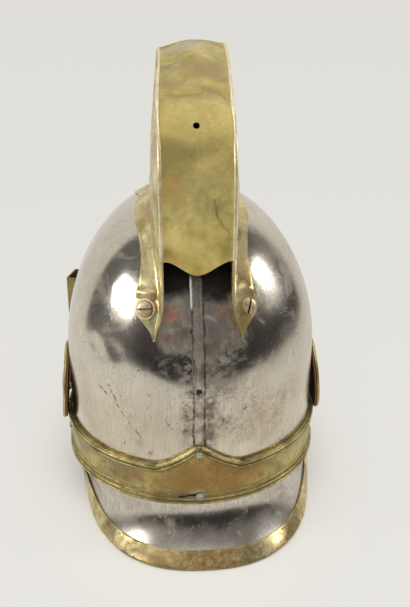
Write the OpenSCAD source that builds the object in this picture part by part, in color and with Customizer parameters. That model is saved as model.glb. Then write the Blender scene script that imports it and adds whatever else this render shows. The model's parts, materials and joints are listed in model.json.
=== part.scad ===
// Cuirassier helmet: polished steel skull, brass headband, hollow brass crest, visor and neck guard.
// Millimetres. +Y is the visor side, +X is the wearer's right, +Z is up.
// The helmet stands on the rims of its visor and neck guard, at z = 0.

/* [Skull] */
// Half of the skull's greatest width
skull_half_width = 88; // [82:1:94]
// From the widest line back to the rear of the skull
skull_rear = 88; // [82:1:94]
// From the widest line forward to the brow
skull_front = 122; // [116:1:128]
// Height of the widest line above the headband's lower edge
skull_belly = 81; // [76:1:88]
// Rise from the widest line to the crown
skull_rise = 115; // [110:1:120]
// Thickness of the steel sheet
skull_sheet = 1.2; // [0.8:0.1:1.6]
// Width of the raised medial ridge
ridge_width = 8; // [6:0.5:10]
// Height of the medial ridge
ridge_height = 1; // [0.6:0.1:1.2]
// Diameter of the open hole in the ridge at the rear
ridge_hole = 4; // [3:0.5:5]

/* [Headband] */
// Height of the brass headband at the sides
band_height = 27; // [24:1:32]
// Height of its points at the brow and the nape
band_point = 18; // [14:1:20]
// Half width of each point where it leaves the band's line
band_point_half = 29; // [24:1:34]
// Thickness of the brass sheet
band_sheet = 0.9; // [0.7:0.1:1.2]
// How far the double mouldings stand out
band_bead = 1.1; // [0.8:0.1:1.4]

/* [Neck guard and visor] */
// Height of the headband's lower edge above the surface that the helmet stands on
stand = 38; // [34:1:44]
// Reach of the neck guard's rim behind the widest line of the skull
guard_reach = 115; // [108:1:120]
// Half width of the neck guard at its rim
guard_half_width = 82.5; // [80:0.5:85]
// Reach of the visor's rim in front of the widest line of the skull
visor_reach = 173; // [165:1:180]
// How far the neck guard's sides draw in between the headband and the rim
guard_waist = 7; // [4:0.5:9]
// Thickness of the guard and visor sheet
guard_sheet = 1; // [0.8:0.1:1.2]
// How far the guard and the visor reach up behind the headband
guard_lap = 12; // [10:1:14]
// Width of the brass edging on its outer face
edging_width = 12; // [10:1:14]
// Thickness of the brass edging
edging_sheet = 0.8; // [0.6:0.1:1]

/* [Crest] */
// Half width of the crest over its flanks at the top
crest_half_width = 22.2; // [20.4:0.2:24]
// Height of the gutter's lower corners above the headband's lower edge
crest_corner_height = 176; // [172:1:180]
// Height at which the rear panel starts to bend over
crest_bend_height = 230; // [224:1:238]
// Distance of the rear panel behind the widest line of the skull
crest_back = 82; // [79:0.5:84]
// Radius of the bend between the rear panel and the top
crest_bend = 40; // [34:1:46]
// Length of the straight top of the crest
crest_top = 90; // [84:1:96]
// Slope of the top, rising to the front
crest_slope = 10; // [8:0.5:13]
// Thickness of the crest's brass sheet
crest_sheet = 0.9; // [0.7:0.1:1.1]
// How far the gadroons stand out of the flanks
gadroon_lift = 1.7; // [1:0.1:2]
// Length of the tongue below the gutter's lower corners
tongue_length = 9.5; // [6:0.5:12]
// Diameter of the hole in the gutter
gutter_hole = 4; // [3:0.5:5]

/* [Fittings] */
// Diameter of the crest screws' shanks
screw_shank = 4; // [3:0.5:5]
// Diameter of the crest screws' heads
screw_head = 10; // [9:0.5:11]
// Outside diameter of the ring washer
washer_size = 13.8; // [13:0.2:15]
// Diameter of the chin scale bosses
boss_size = 56; // [52:1:58]
// Diameter of the bosses' shanks
boss_shank = 6; // [5:0.5:7]
// Height of the bosses above the headband's lower edge
boss_height = 45; // [43:1:48]
// Width of the plume sheath along the skull
plume_width = 17; // [15:0.5:19]
// Depth of the plume sheath out of the skull
plume_depth = 8; // [7.5:0.5:10]
// Length of the plume sheath
plume_length = 58; // [52:1:64]
// Thickness of the plume sheath's walls
plume_wall = 1; // [0.8:0.1:1.3]
// Bore of the tuft socket on the crest
tuft_bore = 12; // [10:0.5:13]
// Diameter of the rivets' shanks
rivet_shank = 2.6; // [2:0.2:3]
// Thickness of the liner's leather
leather = 1.8; // [1.4:0.1:2.2]
// Height of the leather sweatband
liner_height = 31; // [26:1:34]

/* [Hidden] */
// Clearance between sheets that lie on each other
gap = 0.25;
// Clearance between the crest's flanges and the skull
crest_gap = 0.35;
// Clearance between the edging and the sheet that it is folded round
edging_gap = 0.5;
// Radial clearance of a shank in its hole
fit = 0.2;
// Radial clearance of a boss's shank that turns in its bush
running = 0.05;
// Share by which the skull draws in below its widest line
skull_tuck = 0.015;
// Bottom edge of the skull above the headband's lower edge
skull_lip = 1.5;
// The skull's steps round each side, and the headband's
skull_steps = 19;
guard_steps = 28;
// Height of the screws, and the crest's edge at the front foot and above it, as [y, height]
screw_height = 139;
foot_away = 2.6;
front_foot = [skull_front * girth(screw_height - 8) + foot_away, screw_height - 8];
front_low = [80, 176];
front_high = [62, 240];
// The edge at the rear foot
rear_foot = [-skull_rear * girth(screw_height - 15) - foot_away, screw_height - 15];
// Distance of the screws to the side
screw_side = 32.3;
// Place of the chin scale bosses, the plume socket and the hook along the skull
boss_y = 8;
plume_angle = 117;
plume_top = 109;
hook_angle = 106.4;
hook_height = 70;

crown = skull_belly + skull_rise;
place_y = (guard_reach - visor_reach) / 2;
band_in = gap + guard_sheet + gap;
band_out = band_in + band_sheet;
boss_angle = 90 + asin(boss_y / skull_front);
eps = 0.01;
// Level of what is fastened on the inside of the curved skull
inner_seat = -skull_sheet - 0.6;

function unit(v) = v / norm(v);
function mix(a, b, t) = a * (1 - t) + b * t;
function share(x) = min(1, max(0, x));
function turned(rows) = [for (i = [0:len(rows[0]) - 1]) [for (row = rows) row[i]]];
function flipped(list) = [for (i = [len(list) - 1:-1:0]) list[i]];

// Girth of the skull at a height, as a share of the widest line
function girth(h) =
    h > skull_belly
        ? sqrt(max(0, 1 - pow((h - skull_belly) / skull_rise, 2)))
        : 1 - skull_tuck * pow((skull_belly - h) / skull_belly, 2);

function reach(angle) = cos(angle) > 0 ? skull_rear : skull_front;

// Outward direction of the skull at a point given from the centre of its widest line
function skull_normal(p, depth, h) =
    unit([
        p[0] / pow(skull_half_width, 2),
        p[1] / pow(depth, 2),
        h > skull_belly
            ? (h - skull_belly) / pow(skull_rise, 2)
            : -2 * skull_tuck * (skull_belly - h) / pow(skull_belly, 2)
    ]);

// Point on the skull at an angle round from the nape, a height, and a distance out of the surface
function skull_at(angle, h, out = 0) =
    let (p = [skull_half_width * girth(h) * sin(angle), -reach(angle) * girth(h) * cos(angle), h])
    p + out * skull_normal(p, reach(angle), h) + [0, 0, stand];

// Length of the ray from the middle of the widest line to the skull, in the plane of the ridge
function ray(tilt) =
    1 / norm([cos(tilt) / (cos(tilt) > 0 ? skull_rear : skull_front), sin(tilt) / skull_rise]);

// Point on the skull at a tilt up from the nape and a distance to the side
function crest_seat(tilt, side, out = 0) =
    let (
        r = ray(tilt) * sqrt(1 - pow(side / skull_half_width, 2)),
        p = [side, -r * cos(tilt), skull_belly + r * sin(tilt)]
    )
    p + out * skull_normal(p, cos(tilt) > 0 ? skull_rear : skull_front, p[2]) + [0, 0, stand];

// Point of the crest at a tilt up from the nape, a distance to the side and a radius
function crest_at(tilt, side, radius) =
    [side, -radius * cos(tilt), stand + skull_belly + radius * sin(tilt)];

// Closed sheet over two grids of points, seen from outside with rows going up and columns going right
module sheet(outer, inner, round = false, poles = []) {
    rows = len(outer);
    cols = len(outer[0]);
    last = rows - 1;
    spans = round ? cols : cols - 1;
    function o(r, c) = r * cols + c % cols;
    function i(r, c) = rows * cols + r * cols + c % cols;
    top = 2 * rows * cols;
    skin = [
        for (r = [0:last - 1]) for (c = [0:spans - 1]) each [
            [o(r, c), o(r + 1, c), o(r + 1, c + 1)],
            [o(r, c), o(r + 1, c + 1), o(r, c + 1)],
            [i(r, c), i(r + 1, c + 1), i(r + 1, c)],
            [i(r, c), i(r, c + 1), i(r + 1, c + 1)]
        ]
    ];
    foot = [
        for (c = [0:spans - 1]) each [
            [o(0, c), o(0, c + 1), i(0, c + 1)],
            [o(0, c), i(0, c + 1), i(0, c)]
        ]
    ];
    head = [
        for (c = [0:spans - 1]) each len(poles) == 2
            ? [[o(last, c + 1), o(last, c), top], [i(last, c), i(last, c + 1), top + 1]]
            : [
                [o(last, c + 1), o(last, c), i(last, c)],
                [o(last, c + 1), i(last, c), i(last, c + 1)]
            ]
    ];
    sides = round ? [] : [
        for (r = [0:last - 1]) each [
            [o(r + 1, 0), o(r, 0), i(r, 0)],
            [o(r + 1, 0), i(r, 0), i(r + 1, 0)],
            [o(r, cols - 1), o(r + 1, cols - 1), i(r + 1, cols - 1)],
            [o(r, cols - 1), i(r + 1, cols - 1), i(r, cols - 1)]
        ]
    ];
    polyhedron(
        points = concat([for (row = outer) each row], [for (row = inner) each row], poles),
        faces = concat(skin, foot, head, sides)
    );
}

// Puts its children on the skull with +Z along the surface's outward direction
module on_skull(angle, h) {
    p = skull_at(angle, h);
    n = skull_at(angle, h, 1) - p;
    translate(p) rotate([0, acos(n[2]), atan2(n[1], n[0])]) children();
}

// The same for a point given by its distance to the side and its height, at the front or rear
module on_crest_foot(side, h, front = false) {
    depth = front ? skull_front : skull_rear;
    across = sqrt(1 - pow(side / skull_half_width, 2) - pow((h - skull_belly) / skull_rise, 2));
    p = [side, (front ? 1 : -1) * depth * across, h];
    n = skull_normal(p, depth, h);
    translate(p + [0, 0, stand]) rotate([0, acos(n[2]), atan2(n[1], n[0])]) children();
}

// Round hole through the sheets, as long as they need together
module hole(size) {
    translate([0, 0, -8]) cylinder(h = 16, d = size, $fn = 32);
}

// Dome headed rivet from a head on the outside to a peened end on the inside
module rivet(from, to, head) {
    translate([0, 0, to - eps]) cylinder(h = from - to + 2 * eps, d = rivet_shank, $fn = 24);
    translate([0, 0, from]) rivet_head(head);
    translate([0, 0, to]) mirror([0, 0, 1]) rivet_head(head * 0.85);
}

module rivet_head(size) {
    rotate_extrude($fn = 32) polygon([
        [0, 0], [size / 2, 0], [size / 2, size * 0.08], [size * 0.38, size * 0.22],
        [size * 0.2, size * 0.29], [0, size * 0.31]
    ]);
}

// Places of the rivets
function band_line(angle) =
    let (side = abs(skull_half_width * sin(angle)))
    band_height + 2 * abs(cos(angle)) + band_point * pow(share(1 - side / band_point_half), 1.3);
// On each point of the band a rivet in either moulding, and beside each boss two between them
point_rivets = [[0, band_line(0) - 6.5], [0, 6.5], [180, band_line(180) - 6.5], [180, 6.5]];
side_rivets = [for (a = [boss_angle, -boss_angle]) for (turn = [-7, 7]) [a + turn, 14]];
band_rivets = concat(point_rivets, side_rivets);
guard_rivets = [-62, -30, 30, 62];
visor_rivets = [132, 158, 202, 228];
lap_rivet_height = 7;

// Skull

// Angles of one ring of the skull, each with its share of the ridge's height
function ring(h) =
    let (
        half = ridge_width / 2,
        foot = asin((half + 0.7) / (skull_half_width * girth(h))),
        edge = asin((half - 0.3) / (skull_half_width * girth(h))),
        lift = h > guard_lap + 1 ? ridge_height : 0
    )
    concat(
        [[-foot, 0], [-edge, lift], [edge, lift]],
        [for (i = [0:skull_steps]) [foot + (180 - 2 * foot) * i / skull_steps, 0]],
        [[180 - edge, lift], [180 + edge, lift]],
        [for (i = [0:skull_steps - 1]) [180 + foot + (180 - 2 * foot) * i / skull_steps, 0]]
    );

module skull_bowl() {
    heights = concat(
        [skull_lip, guard_lap + 1, guard_lap + 2.5, 46, skull_belly],
        [for (k = [1:9]) skull_belly + skull_rise * sin(9 * k)]
    );
    outer = [for (h = heights) [for (a = ring(h)) skull_at(a[0], h, a[1])]];
    inner = [for (h = heights) [for (a = ring(h)) skull_at(a[0], h, a[1] - skull_sheet)]];
    peak = [0, 0, crown + stand];
    color("gainsboro") difference() {
        sheet(outer, inner, true, [peak + [0, 0, ridge_height], peak + [0, 0, ridge_height - skull_sheet]]);
        for (side = [-1, 1]) {
            on_crest_foot(side * screw_side, screw_height) hole(screw_shank + 2 * fit);
            on_crest_foot(side * screw_side, screw_height, true) hole(screw_shank + 2 * fit);
            boss_place(side) hole(bush_outer + 2 * fit);
        }
        on_skull(0, 88) hole(ridge_hole);
        for (r = band_rivets) on_skull(r[0], r[1]) hole(rivet_shank + 2 * fit);
        for (a = concat(guard_rivets, visor_rivets)) {
            on_skull(a, lap_rivet_height) hole(rivet_shank + 2 * fit);
        }
        for (place = plume_rivets) on_skull(place[0], place[1]) hole(rivet_shank + 2 * fit);
        on_skull(-hook_angle, hook_height) hole(hook_wire + 2 * fit);
    }
}

// Headband

// Outline of the band's double mouldings, as [height, distance out], with the height from one edge
band_moulding = [[0, 0], [1.3, 1], [2.8, 0.15], [4.3, 0.85], [5.8, 0]];

function band_rows(angles) =
    let (low = band_moulding, n = len(low) - 1)
    concat(
        [for (m = low) [for (a = angles) skull_at(a, m[0], band_out + band_bead * m[1])]],
        [for (k = [n:-1:0]) [for (a = angles)
            skull_at(a, band_line(a) - low[k][0], band_out + band_bead * low[k][1])]]
    );
function band_backs(angles) =
    let (low = band_moulding, n = len(low) - 1)
    concat(
        [for (m = low) [for (a = angles) skull_at(a, m[0], band_in)]],
        [for (k = [n:-1:0]) [for (a = angles) skull_at(a, band_line(a) - low[k][0], band_in)]]
    );

module headband(middle, span) {
    point = asin(band_point_half / skull_half_width);
    spread = [for (k = [0:0.25:0.75]) point * (1 - k)];
    side = [for (i = [0:10]) span + (point - span) * i / 11];
    half = concat(side, spread);
    angles = concat([for (a = half) middle - a], [middle], [for (a = flipped(half)) middle + a]);
    difference() {
        sheet(band_rows(angles), band_backs(angles));
        for (r = band_rivets) on_skull(r[0], r[1]) hole(rivet_shank + 2 * fit);
    }
}

module headband_rear() {
    color("goldenrod") headband(0, boss_angle - 0.15);
}

module headband_front() {
    color("darkgoldenrod") headband(180, 180 - boss_angle - 0.15);
}

// Neck guard and visor

// Share of the way from the last level point of a rim to its end, and the rim's rise there
guard_end = 91;
end_height = 7;
function guard_turn(angle) = share((abs(angle) - 66) / (guard_end - 66));
function guard_edge(angle) =
    let (
        n = 2 / 2.4,
        a = min(90, abs(angle)),
        k = guard_turn(angle),
        plan = [
            guard_half_width * sign(angle) * pow(sin(a), n),
            -(guard_reach - edging_grow) * pow(cos(a), n)
        ],
        flat = mix(plan, on_plan(angle), k * k)
    )
    [flat[0], flat[1], (stand - end_height) * pow(k, 4) + edging_foot];

visor_end = 62;
function visor_turn(angle) = abs(angle - 180) / visor_end;
function visor_edge(angle) =
    let (
        k = visor_turn(angle),
        rise = pow(share((k - 0.6) / 0.4), 2),
        away = visor_reach - edging_grow + on_plan(0)[1] * skull_front / skull_rear,
        flat = on_plan(angle) + [0, away * (1 - pow(k, 4))]
    )
    [flat[0], flat[1], (stand - end_height) * rise + edging_foot];

// The skull's outline at the headband's lower edge, seen from above
function on_plan(angle) = let (p = skull_at(angle, 0)) [p[0], p[1]];

// Distance of the rim's outermost point from the sheet's edge, and of the edge from the floor
edging_wrap = guard_sheet + edging_gap;
edging_grow = edging_wrap + edging_sheet;
edging_foot = edging_sheet + 0.5;

// How far a side of the neck guard draws in, at a share of the way down to its edge
function waist(angle, v) =
    cos(angle) > 0 ? guard_waist * pow(sin(angle), 2) * (1 - guard_turn(angle)) * sin(180 * v) * sign(angle) : 0;

// Point of a flared sheet's inner face, from its lap behind the headband (0) down to its edge (1)
function flare_point(angles, edges, bend, i, v) =
    let (top = skull_at(angles[i], -1.5, gap), p = mix(top, edges[i], pow(v, bend)))
    [p[0] - waist(angles[i], v), p[1], mix(top[2], edges[i][2], v)];
// Length of the sheet for a whole share near its edge
function flare_speed(angles, edges, bend, i) =
    10 * norm(flare_point(angles, edges, bend, i, 1) - flare_point(angles, edges, bend, i, 0.9));
function flare_normal(angles, edges, bend, i, v) =
    let (
        last = len(angles) - 1,
        along = flare_point(angles, edges, bend, min(last, i + 1), v)
            - flare_point(angles, edges, bend, max(0, i - 1), v),
        up = flare_point(angles, edges, bend, i, v - 0.1) - flare_point(angles, edges, bend, i, v)
    )
    unit(cross(along, up));
function flare_off(angles, edges, bend, i, v, out) =
    flare_point(angles, edges, bend, i, v) + out * flare_normal(angles, edges, bend, i, v);

// Rows of a flared sheet, listed going up from its edge
function flare(angles, edges, bend, out) =
    concat(
        [for (v = [1, 0.85, 0.7, 0.5, 0.25]) [for (i = [0:len(angles) - 1])
            flare_off(angles, edges, bend, i, v, out)]],
        [for (h = [-1.5, guard_lap]) [for (a = angles) skull_at(a, h, gap + out)]]
    );

// Brass edging folded round the sheet's edge, with a flat foot to stand on
function edging_rows(angles, edges, bend, t) =
    turned([for (i = [0:len(angles) - 1])
        let (
            e = edges[i],
            n = flare_normal(angles, edges, bend, i, 1),
            flat = unit([n[0], n[1], 0]),
            tall = flare_speed(angles, edges, bend, i),
            near = max(0.5, 1 - 2.5 / tall),
            end = max(0.12, 1 - edging_width / tall)
        )
        [
            flare_off(angles, edges, bend, i, max(0.3, 1 - 6 / tall), -edging_gap - t),
            flare_off(angles, edges, bend, i, max(0.6, 1 - 1.5 / tall), -edging_gap - t),
            e - (0.3 + t) * flat + [0, 0, -0.5 - t],
            e + (edging_wrap * 0.5 + t) * flat + [0, 0, -0.5 - t],
            e + (edging_wrap + t) * flat + [0, 0, 0.6],
            flare_off(angles, edges, bend, i, near, edging_wrap + t),
            flare_off(angles, edges, bend, i, mix(near, end, 0.5), edging_wrap + t),
            flare_off(angles, edges, bend, i, end, edging_wrap + t)
        ]]);

module edging(angles, edges, bend) {
    sheet(
        edging_rows(angles, edges, bend, edging_sheet),
        edging_rows(angles, edges, bend, 0)
    );
}

guard_angles = [for (i = [0:guard_steps]) guard_end * (2 * i / guard_steps - 1)];
guard_edges = [for (a = guard_angles) guard_edge(a)];
guard_bend = 2;
visor_angles = [for (i = [0:guard_steps]) 180 + visor_end * (2 * i / guard_steps - 1)];
visor_edges = [for (a = visor_angles) visor_edge(a)];
visor_bend = 1.15;

module neck_guard() {
    color("silver") difference() {
        sheet(
            flare(guard_angles, guard_edges, guard_bend, guard_sheet),
            flare(guard_angles, guard_edges, guard_bend, 0)
        );
        for (a = guard_rivets) on_skull(a, lap_rivet_height) hole(rivet_shank + 2 * fit);
        on_skull(0, point_rivets[1][1]) hole(rivet_shank + 2 * fit);
    }
}

module neck_guard_rim() {
    color("gold") edging(guard_angles, guard_edges, guard_bend);
}

module visor() {
    color("silver") difference() {
        sheet(
            flare(visor_angles, visor_edges, visor_bend, guard_sheet),
            flare(visor_angles, visor_edges, visor_bend, 0)
        );
        for (a = visor_rivets) on_skull(a, lap_rivet_height) hole(rivet_shank + 2 * fit);
        on_skull(180, point_rivets[3][1]) hole(rivet_shank + 2 * fit);
    }
}

module visor_rim() {
    color("gold") edging(visor_angles, visor_edges, visor_bend);
}

// Crest

// Outline of the crest from the rear foot over the top to the front foot, as [y, height]
corner = [-(crest_back - 2.5), crest_corner_height];
bend_start = [-crest_back, crest_bend_height];
bend_middle = bend_start + [crest_bend, 0];
function bend_point(turn) = bend_middle + crest_bend * [cos(turn), sin(turn)];
top_start = bend_point(90 + crest_slope);
top_end = top_start + crest_top * [cos(crest_slope), sin(crest_slope)];
top_swell = 1.5;
function top_point(t) =
    mix(top_start, top_end, t) + top_swell * sin(180 * t) * [-sin(crest_slope), cos(crest_slope)];
nose = 7;
nose_middle = top_end + nose * [sin(crest_slope), -cos(crest_slope)];
function nose_point(turn) = nose_middle + nose * [cos(turn), sin(turn)];
nose_end = nose_point(45);
function front_point(t) =
    nose_end * pow(1 - t, 3) + 3 * front_high * t * pow(1 - t, 2)
    + 3 * front_low * t * t * (1 - t) + front_foot * pow(t, 3);

rear_steps = 5;
wall_steps = 4;
bend_steps = 5;
top_steps = 18;
front_steps = 11;
outline = concat(
    [for (i = [0:rear_steps]) mix(rear_foot, corner, i / rear_steps)],
    [for (i = [1:wall_steps]) mix(corner, bend_start, i / wall_steps)],
    [for (i = [1:bend_steps]) bend_point(180 - (90 - crest_slope) * i / bend_steps)],
    [for (i = [1:top_steps]) top_point(i / top_steps)],
    [for (turn = [84 + crest_slope, 70, 45]) nose_point(turn)],
    [for (i = [1:front_steps]) front_point(pow(i / front_steps, 0.8))]
);
gutter_last = rear_steps + wall_steps + bend_steps + top_steps;
front_last = len(outline) - 1;

function tilt_of(p) = atan2(p[1] - skull_belly, -p[0]);
function radius_of(p) = norm([p[0], p[1] - skull_belly]);
// The crest narrows towards its front, and its rear feet spread below the screws
foot_spread = 6.5;
spread_from = screw_height + 12;
function half_at(p) =
    crest_half_width - 2 * pow(share(p[0] / front_foot[0]), 1.5)
    + (p[0] < 0 ? foot_spread * pow(share((spread_from - p[1]) / (spread_from - rear_foot[1])), 2) : 0);
// Length of the ray to the seat of a flank's wall, and the wall's height from there
function base_at(tilt, w) = ray(tilt) * sqrt(1 - pow(w / skull_half_width, 2)) + crest_gap + crest_sheet;
function wall_at(p) = max(1, radius_of(p) - base_at(tilt_of(p), half_at(p)));
// Edge of the foot to each side, scalloped between the screw pads, by the tilt up from the nape
function screw_tilt(depth) =
    atan2(
        screw_height - skull_belly,
        depth * sqrt(1 - pow(screw_side / skull_half_width, 2) - pow((screw_height - skull_belly) / skull_rise, 2))
    );
rear_tilt = screw_tilt(skull_rear);
front_tilt = 180 - screw_tilt(skull_front);
pad = screw_side + 7.5;
foot_edge = [
    [rear_tilt - 20, pad - 12], [rear_tilt - 13, pad - 11.5], [rear_tilt - 8, pad - 5], [rear_tilt - 2, pad],
    [rear_tilt + 4, pad - 0.5], [rear_tilt + 12, pad - 4],
    [60, 34.2], [68, 35], [78, 37.5], [88, 36], [97, 34], [106, 37], [115, 34.5], [124, 37],
    [front_tilt - 16, pad - 1.5], [front_tilt - 7, pad], [front_tilt, pad - 0.5], [front_tilt + 4, pad - 4],
    [front_tilt + 7.5, pad - 12], [front_tilt + 20, pad - 13]
];

// One flank's cross section at a point of the outline: foot, bead, gadroons and top border
function flank_section(index, inside) =
    let (
        p = outline[index],
        tilt = tilt_of(p),
        w = half_at(p),
        t = inside ? crest_sheet : 0,
        seat = crest_gap + (inside ? 0 : crest_sheet),
        base = base_at(tilt, w),
        wall = wall_at(p),
        root = w + min(4.5, 0.055 * wall),
        edge = max(root + 3.5, lookup(tilt, foot_edge)),
        lobe = index % 3 == 0 ? 0 : gadroon_lift * share((wall - 14) / 26)
    )
    [
        crest_seat(tilt, edge, seat),
        crest_seat(tilt, mix(edge, root, 0.5), seat),
        crest_seat(tilt, root + 0.8 - t, seat),
        crest_at(tilt, root - t, base + min(2, 0.2 * wall)),
        crest_at(tilt, root + 0.9 - t, base + min(4, 0.34 * wall)),
        crest_at(tilt, root - 0.3 - t, base + min(6, 0.48 * wall)),
        crest_at(tilt, root + lobe - t, base + 0.54 * wall),
        crest_at(tilt, mix(root, w, 0.6) + lobe * 0.8 - t, base + 0.76 * wall),
        crest_at(tilt, w - t, base + 0.88 * wall),
        crest_at(tilt, w - t, base + wall - 0.5)
    ];

module crest_flank() {
    stations = [for (i = [0:front_last]) i];
    difference() {
        sheet(
            turned([for (i = stations) flank_section(i, false)]),
            turned([for (i = stations) flank_section(i, true)])
        );
        on_crest_foot(screw_side, screw_height) hole(screw_shank + 2 * fit);
        on_crest_foot(screw_side, screw_height, true) hole(screw_shank + 2 * fit);
    }
}

module crest_flank_left() {
    color("goldenrod") mirror([1, 0, 0]) crest_flank();
}

module crest_flank_right() {
    color("goldenrod") crest_flank();
}

// Length of the tongue at a share of the panel's half width
function tongue(x) = tongue_length * pow(0.5 + 0.5 * cos(180 * share(abs(x) / 0.86)), 0.8);

// Cover strip along the outline: side lips, beads on the edges and a slightly crowned middle
function cover_row(stations, k, bead, lip, inside, tail, spread) =
    let (
        p = outline[stations[k]],
        way = unit(outline[min(front_last, stations[k] + 1)] - outline[stations[k] - 1]),
        up = [-way[1], way[0]],
        w = half_at(p) + 0.35,
        drop = min(lip, 0.1 * wall_at(p)),
        t = inside ? 0 : crest_sheet,
        edge = [[w + t, -drop], [w + t, 0.1], [w - 0.4, 0.1 + bead + t], [w - 2.2, 0.1 + t]],
        half = concat(edge, [for (x = spread) [w * x, 0.1 + t + 0.5 * (1 - x)]]),
        across = concat([for (q = half) [-q[0], q[1]]], [[0, 0.6 + t]], flipped(half))
    )
    [for (q = across)
        let (flat = p + q[1] * up - (k == 0 ? tail * tongue(q[0] / w) : 0) * way)
        [q[0], flat[0], flat[1] + stand]];

module cover(stations, bead, lip, tail, spread) {
    sheet(
        [for (k = [0:len(stations) - 1]) cover_row(stations, k, bead, lip, false, tail, spread)],
        [for (k = [0:len(stations) - 1]) cover_row(stations, k, bead, lip, true, tail, spread)]
    );
}

// The hole is on the bend, square to the sheet
hole_turn = 135;
module crest_gutter() {
    straight = rear_steps + wall_steps + bend_steps;
    spot = bend_point(hole_turn);
    color("gold") difference() {
        cover(
            concat([for (i = [rear_steps:straight]) i], [for (i = [straight + 2:2:gutter_last]) i]),
            0.9, 2.5, 1, [0.78, 0.62, 0.46, 0.3, 0.15]
        );
        translate([0, spot[0], spot[1] + stand]) rotate([hole_turn - 90, 0, 0]) {
            translate([0, 0, -10]) cylinder(h = 20, d = gutter_hole, $fn = 32);
        }
    }
}

// The tuft socket's stem passes through the front plate
tuft_at = front_point(0.3);
tuft_lean = 32;
tuft_stem = 8;
tuft_outer = tuft_bore + 5;
module tuft_place() {
    translate([0, tuft_at[0], tuft_at[1] + stand]) rotate([-tuft_lean, 0, 0]) children();
}

module crest_front_plate() {
    color("darkgoldenrod") difference() {
        cover([for (i = [gutter_last + 1:front_last]) i], 0.2, 3, 0, [0.5]);
        tuft_place() translate([0, 0, -30]) cylinder(h = 60, d = tuft_stem + 2 * fit, $fn = 32);
    }
}

module tuft_socket() {
    color("gold") tuft_place() rotate_extrude($fn = 48) polygon([
        [0, -13], [tuft_stem / 2, -13], [tuft_stem / 2, 5], [tuft_outer / 2 - 1, 11], [tuft_outer / 2, 12],
        [tuft_outer / 2 - 1, 13], [tuft_outer / 2 - 1, 23], [tuft_outer / 2, 24], [tuft_outer / 2, 25.5],
        [tuft_outer / 2 - 1, 26.5], [tuft_bore / 2, 26.5], [tuft_bore / 2, 12], [0, 12]
    ]);
}

// Crest screws

screw_seat = crest_gap + crest_sheet + 0.05;
washer_thick = 1.6;
nut_size = 7.5;
nut_seat = inner_seat - 0.25;
module crest_screw(lift, slot_turn) {
    difference() {
        union() {
            translate([0, 0, screw_seat + lift]) rotate_extrude($fn = 48) polygon([
                [0, 0], [screw_head / 2, 0], [screw_head / 2, 1.8], [screw_head / 2 - 0.5, 2.4], [0, 2.8]
            ]);
            translate([0, 0, nut_seat - 5]) {
                cylinder(h = 5 - nut_seat + screw_seat + lift + 0.5, d = screw_shank, $fn = 32);
            }
        }
        translate([0, 0, screw_seat + lift + 2.6]) rotate([0, 0, slot_turn]) {
            cube([screw_head + 2, 1.1, 2.4], center = true);
        }
    }
}

module crest_screw_left() {
    color("peru") on_crest_foot(-screw_side, screw_height) crest_screw(washer_thick * 0.6, 100);
}

module crest_screw_right() {
    color("peru") on_crest_foot(screw_side, screw_height) crest_screw(0, -42);
}

module crest_screws_front() {
    color("peru") for (side = [-1, 1]) {
        on_crest_foot(side * screw_side, screw_height, true) crest_screw(0, 40);
    }
}

module ring_washer_left() {
    color("khaki") on_crest_foot(-screw_side, screw_height) {
        translate([0, 0, screw_seat]) rotate_extrude($fn = 64) polygon([
            [screw_shank / 2 + fit, 0], [washer_size / 2, 0], [washer_size / 2, washer_thick - 0.3],
            [washer_size / 2 - 0.4, washer_thick], [screw_head / 2 + 0.3, washer_thick],
            [screw_head / 2 + 0.3, washer_thick * 0.6 - 0.05], [screw_shank / 2 + fit, washer_thick * 0.6 - 0.05]
        ]);
    }
}

module nut() {
    translate([0, 0, nut_seat - 3]) difference() {
        translate([-nut_size / 2, -nut_size / 2, 0]) cube([nut_size, nut_size, 3]);
        translate([0, 0, -1]) cylinder(h = 5, d = screw_shank + 2 * running, $fn = 32);
    }
}

module crest_nuts() {
    color("slategray") for (side = [-1, 1]) for (front = [false, true]) {
        on_crest_foot(side * screw_side, screw_height, front) nut();
    }
}

// Plume socket on the wearer's left

plume_low = plume_top - plume_length;
plate_sheet = 1;
plume_rivet_away = 6.2;
plume_rivets = [
    for (a = [-plume_rivet_away, plume_rivet_away]) for (h = [plume_top - 14, plume_low + 14]) [a - plume_angle, h]
];

// Block that stands on the skull's widest line beside the plate, with its depth from the skull
module plume_block(wide, near, far, low, high) {
    p = skull_at(-plume_angle, skull_belly);
    n = skull_at(-plume_angle, skull_belly, 1) - p;
    translate([p[0], p[1], stand + low]) rotate([0, 0, atan2(n[1], n[0])]) {
        translate([near, -wide / 2, 0]) cube([far - near, wide, high - low]);
    }
}

module plume_socket() {
    seat = gap + plate_sheet / 2;
    far = gap + plate_sheet + plume_depth;
    half = plume_rivet_away + 1.8;
    angles = [for (i = [-3:3]) half * i / 3 - plume_angle];
    heights = [for (i = [0:4]) plume_low + 6 + (plume_length - 14) * i / 4];
    color("khaki") difference() {
        union() {
            sheet(
                [for (h = heights) [for (a = angles) skull_at(a, h, gap + plate_sheet)]],
                [for (h = heights) [for (a = angles) skull_at(a, h, gap)]]
            );
            plume_block(plume_width, seat, far, plume_low, plume_top);
        }
        plume_block(
            plume_width - 2 * plume_wall, seat + plume_wall, far - plume_wall, plume_low + plume_wall, plume_top + 1
        );
        for (place = plume_rivets) on_skull(place[0], place[1]) hole(rivet_shank + 2 * fit);
    }
}

module plume_socket_rivets() {
    color("peru") for (place = plume_rivets) on_skull(place[0], place[1]) {
        rivet(gap + plate_sheet + 0.15, inner_seat, 5);
    }
}

// Chin scale hook on the wearer's left

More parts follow.
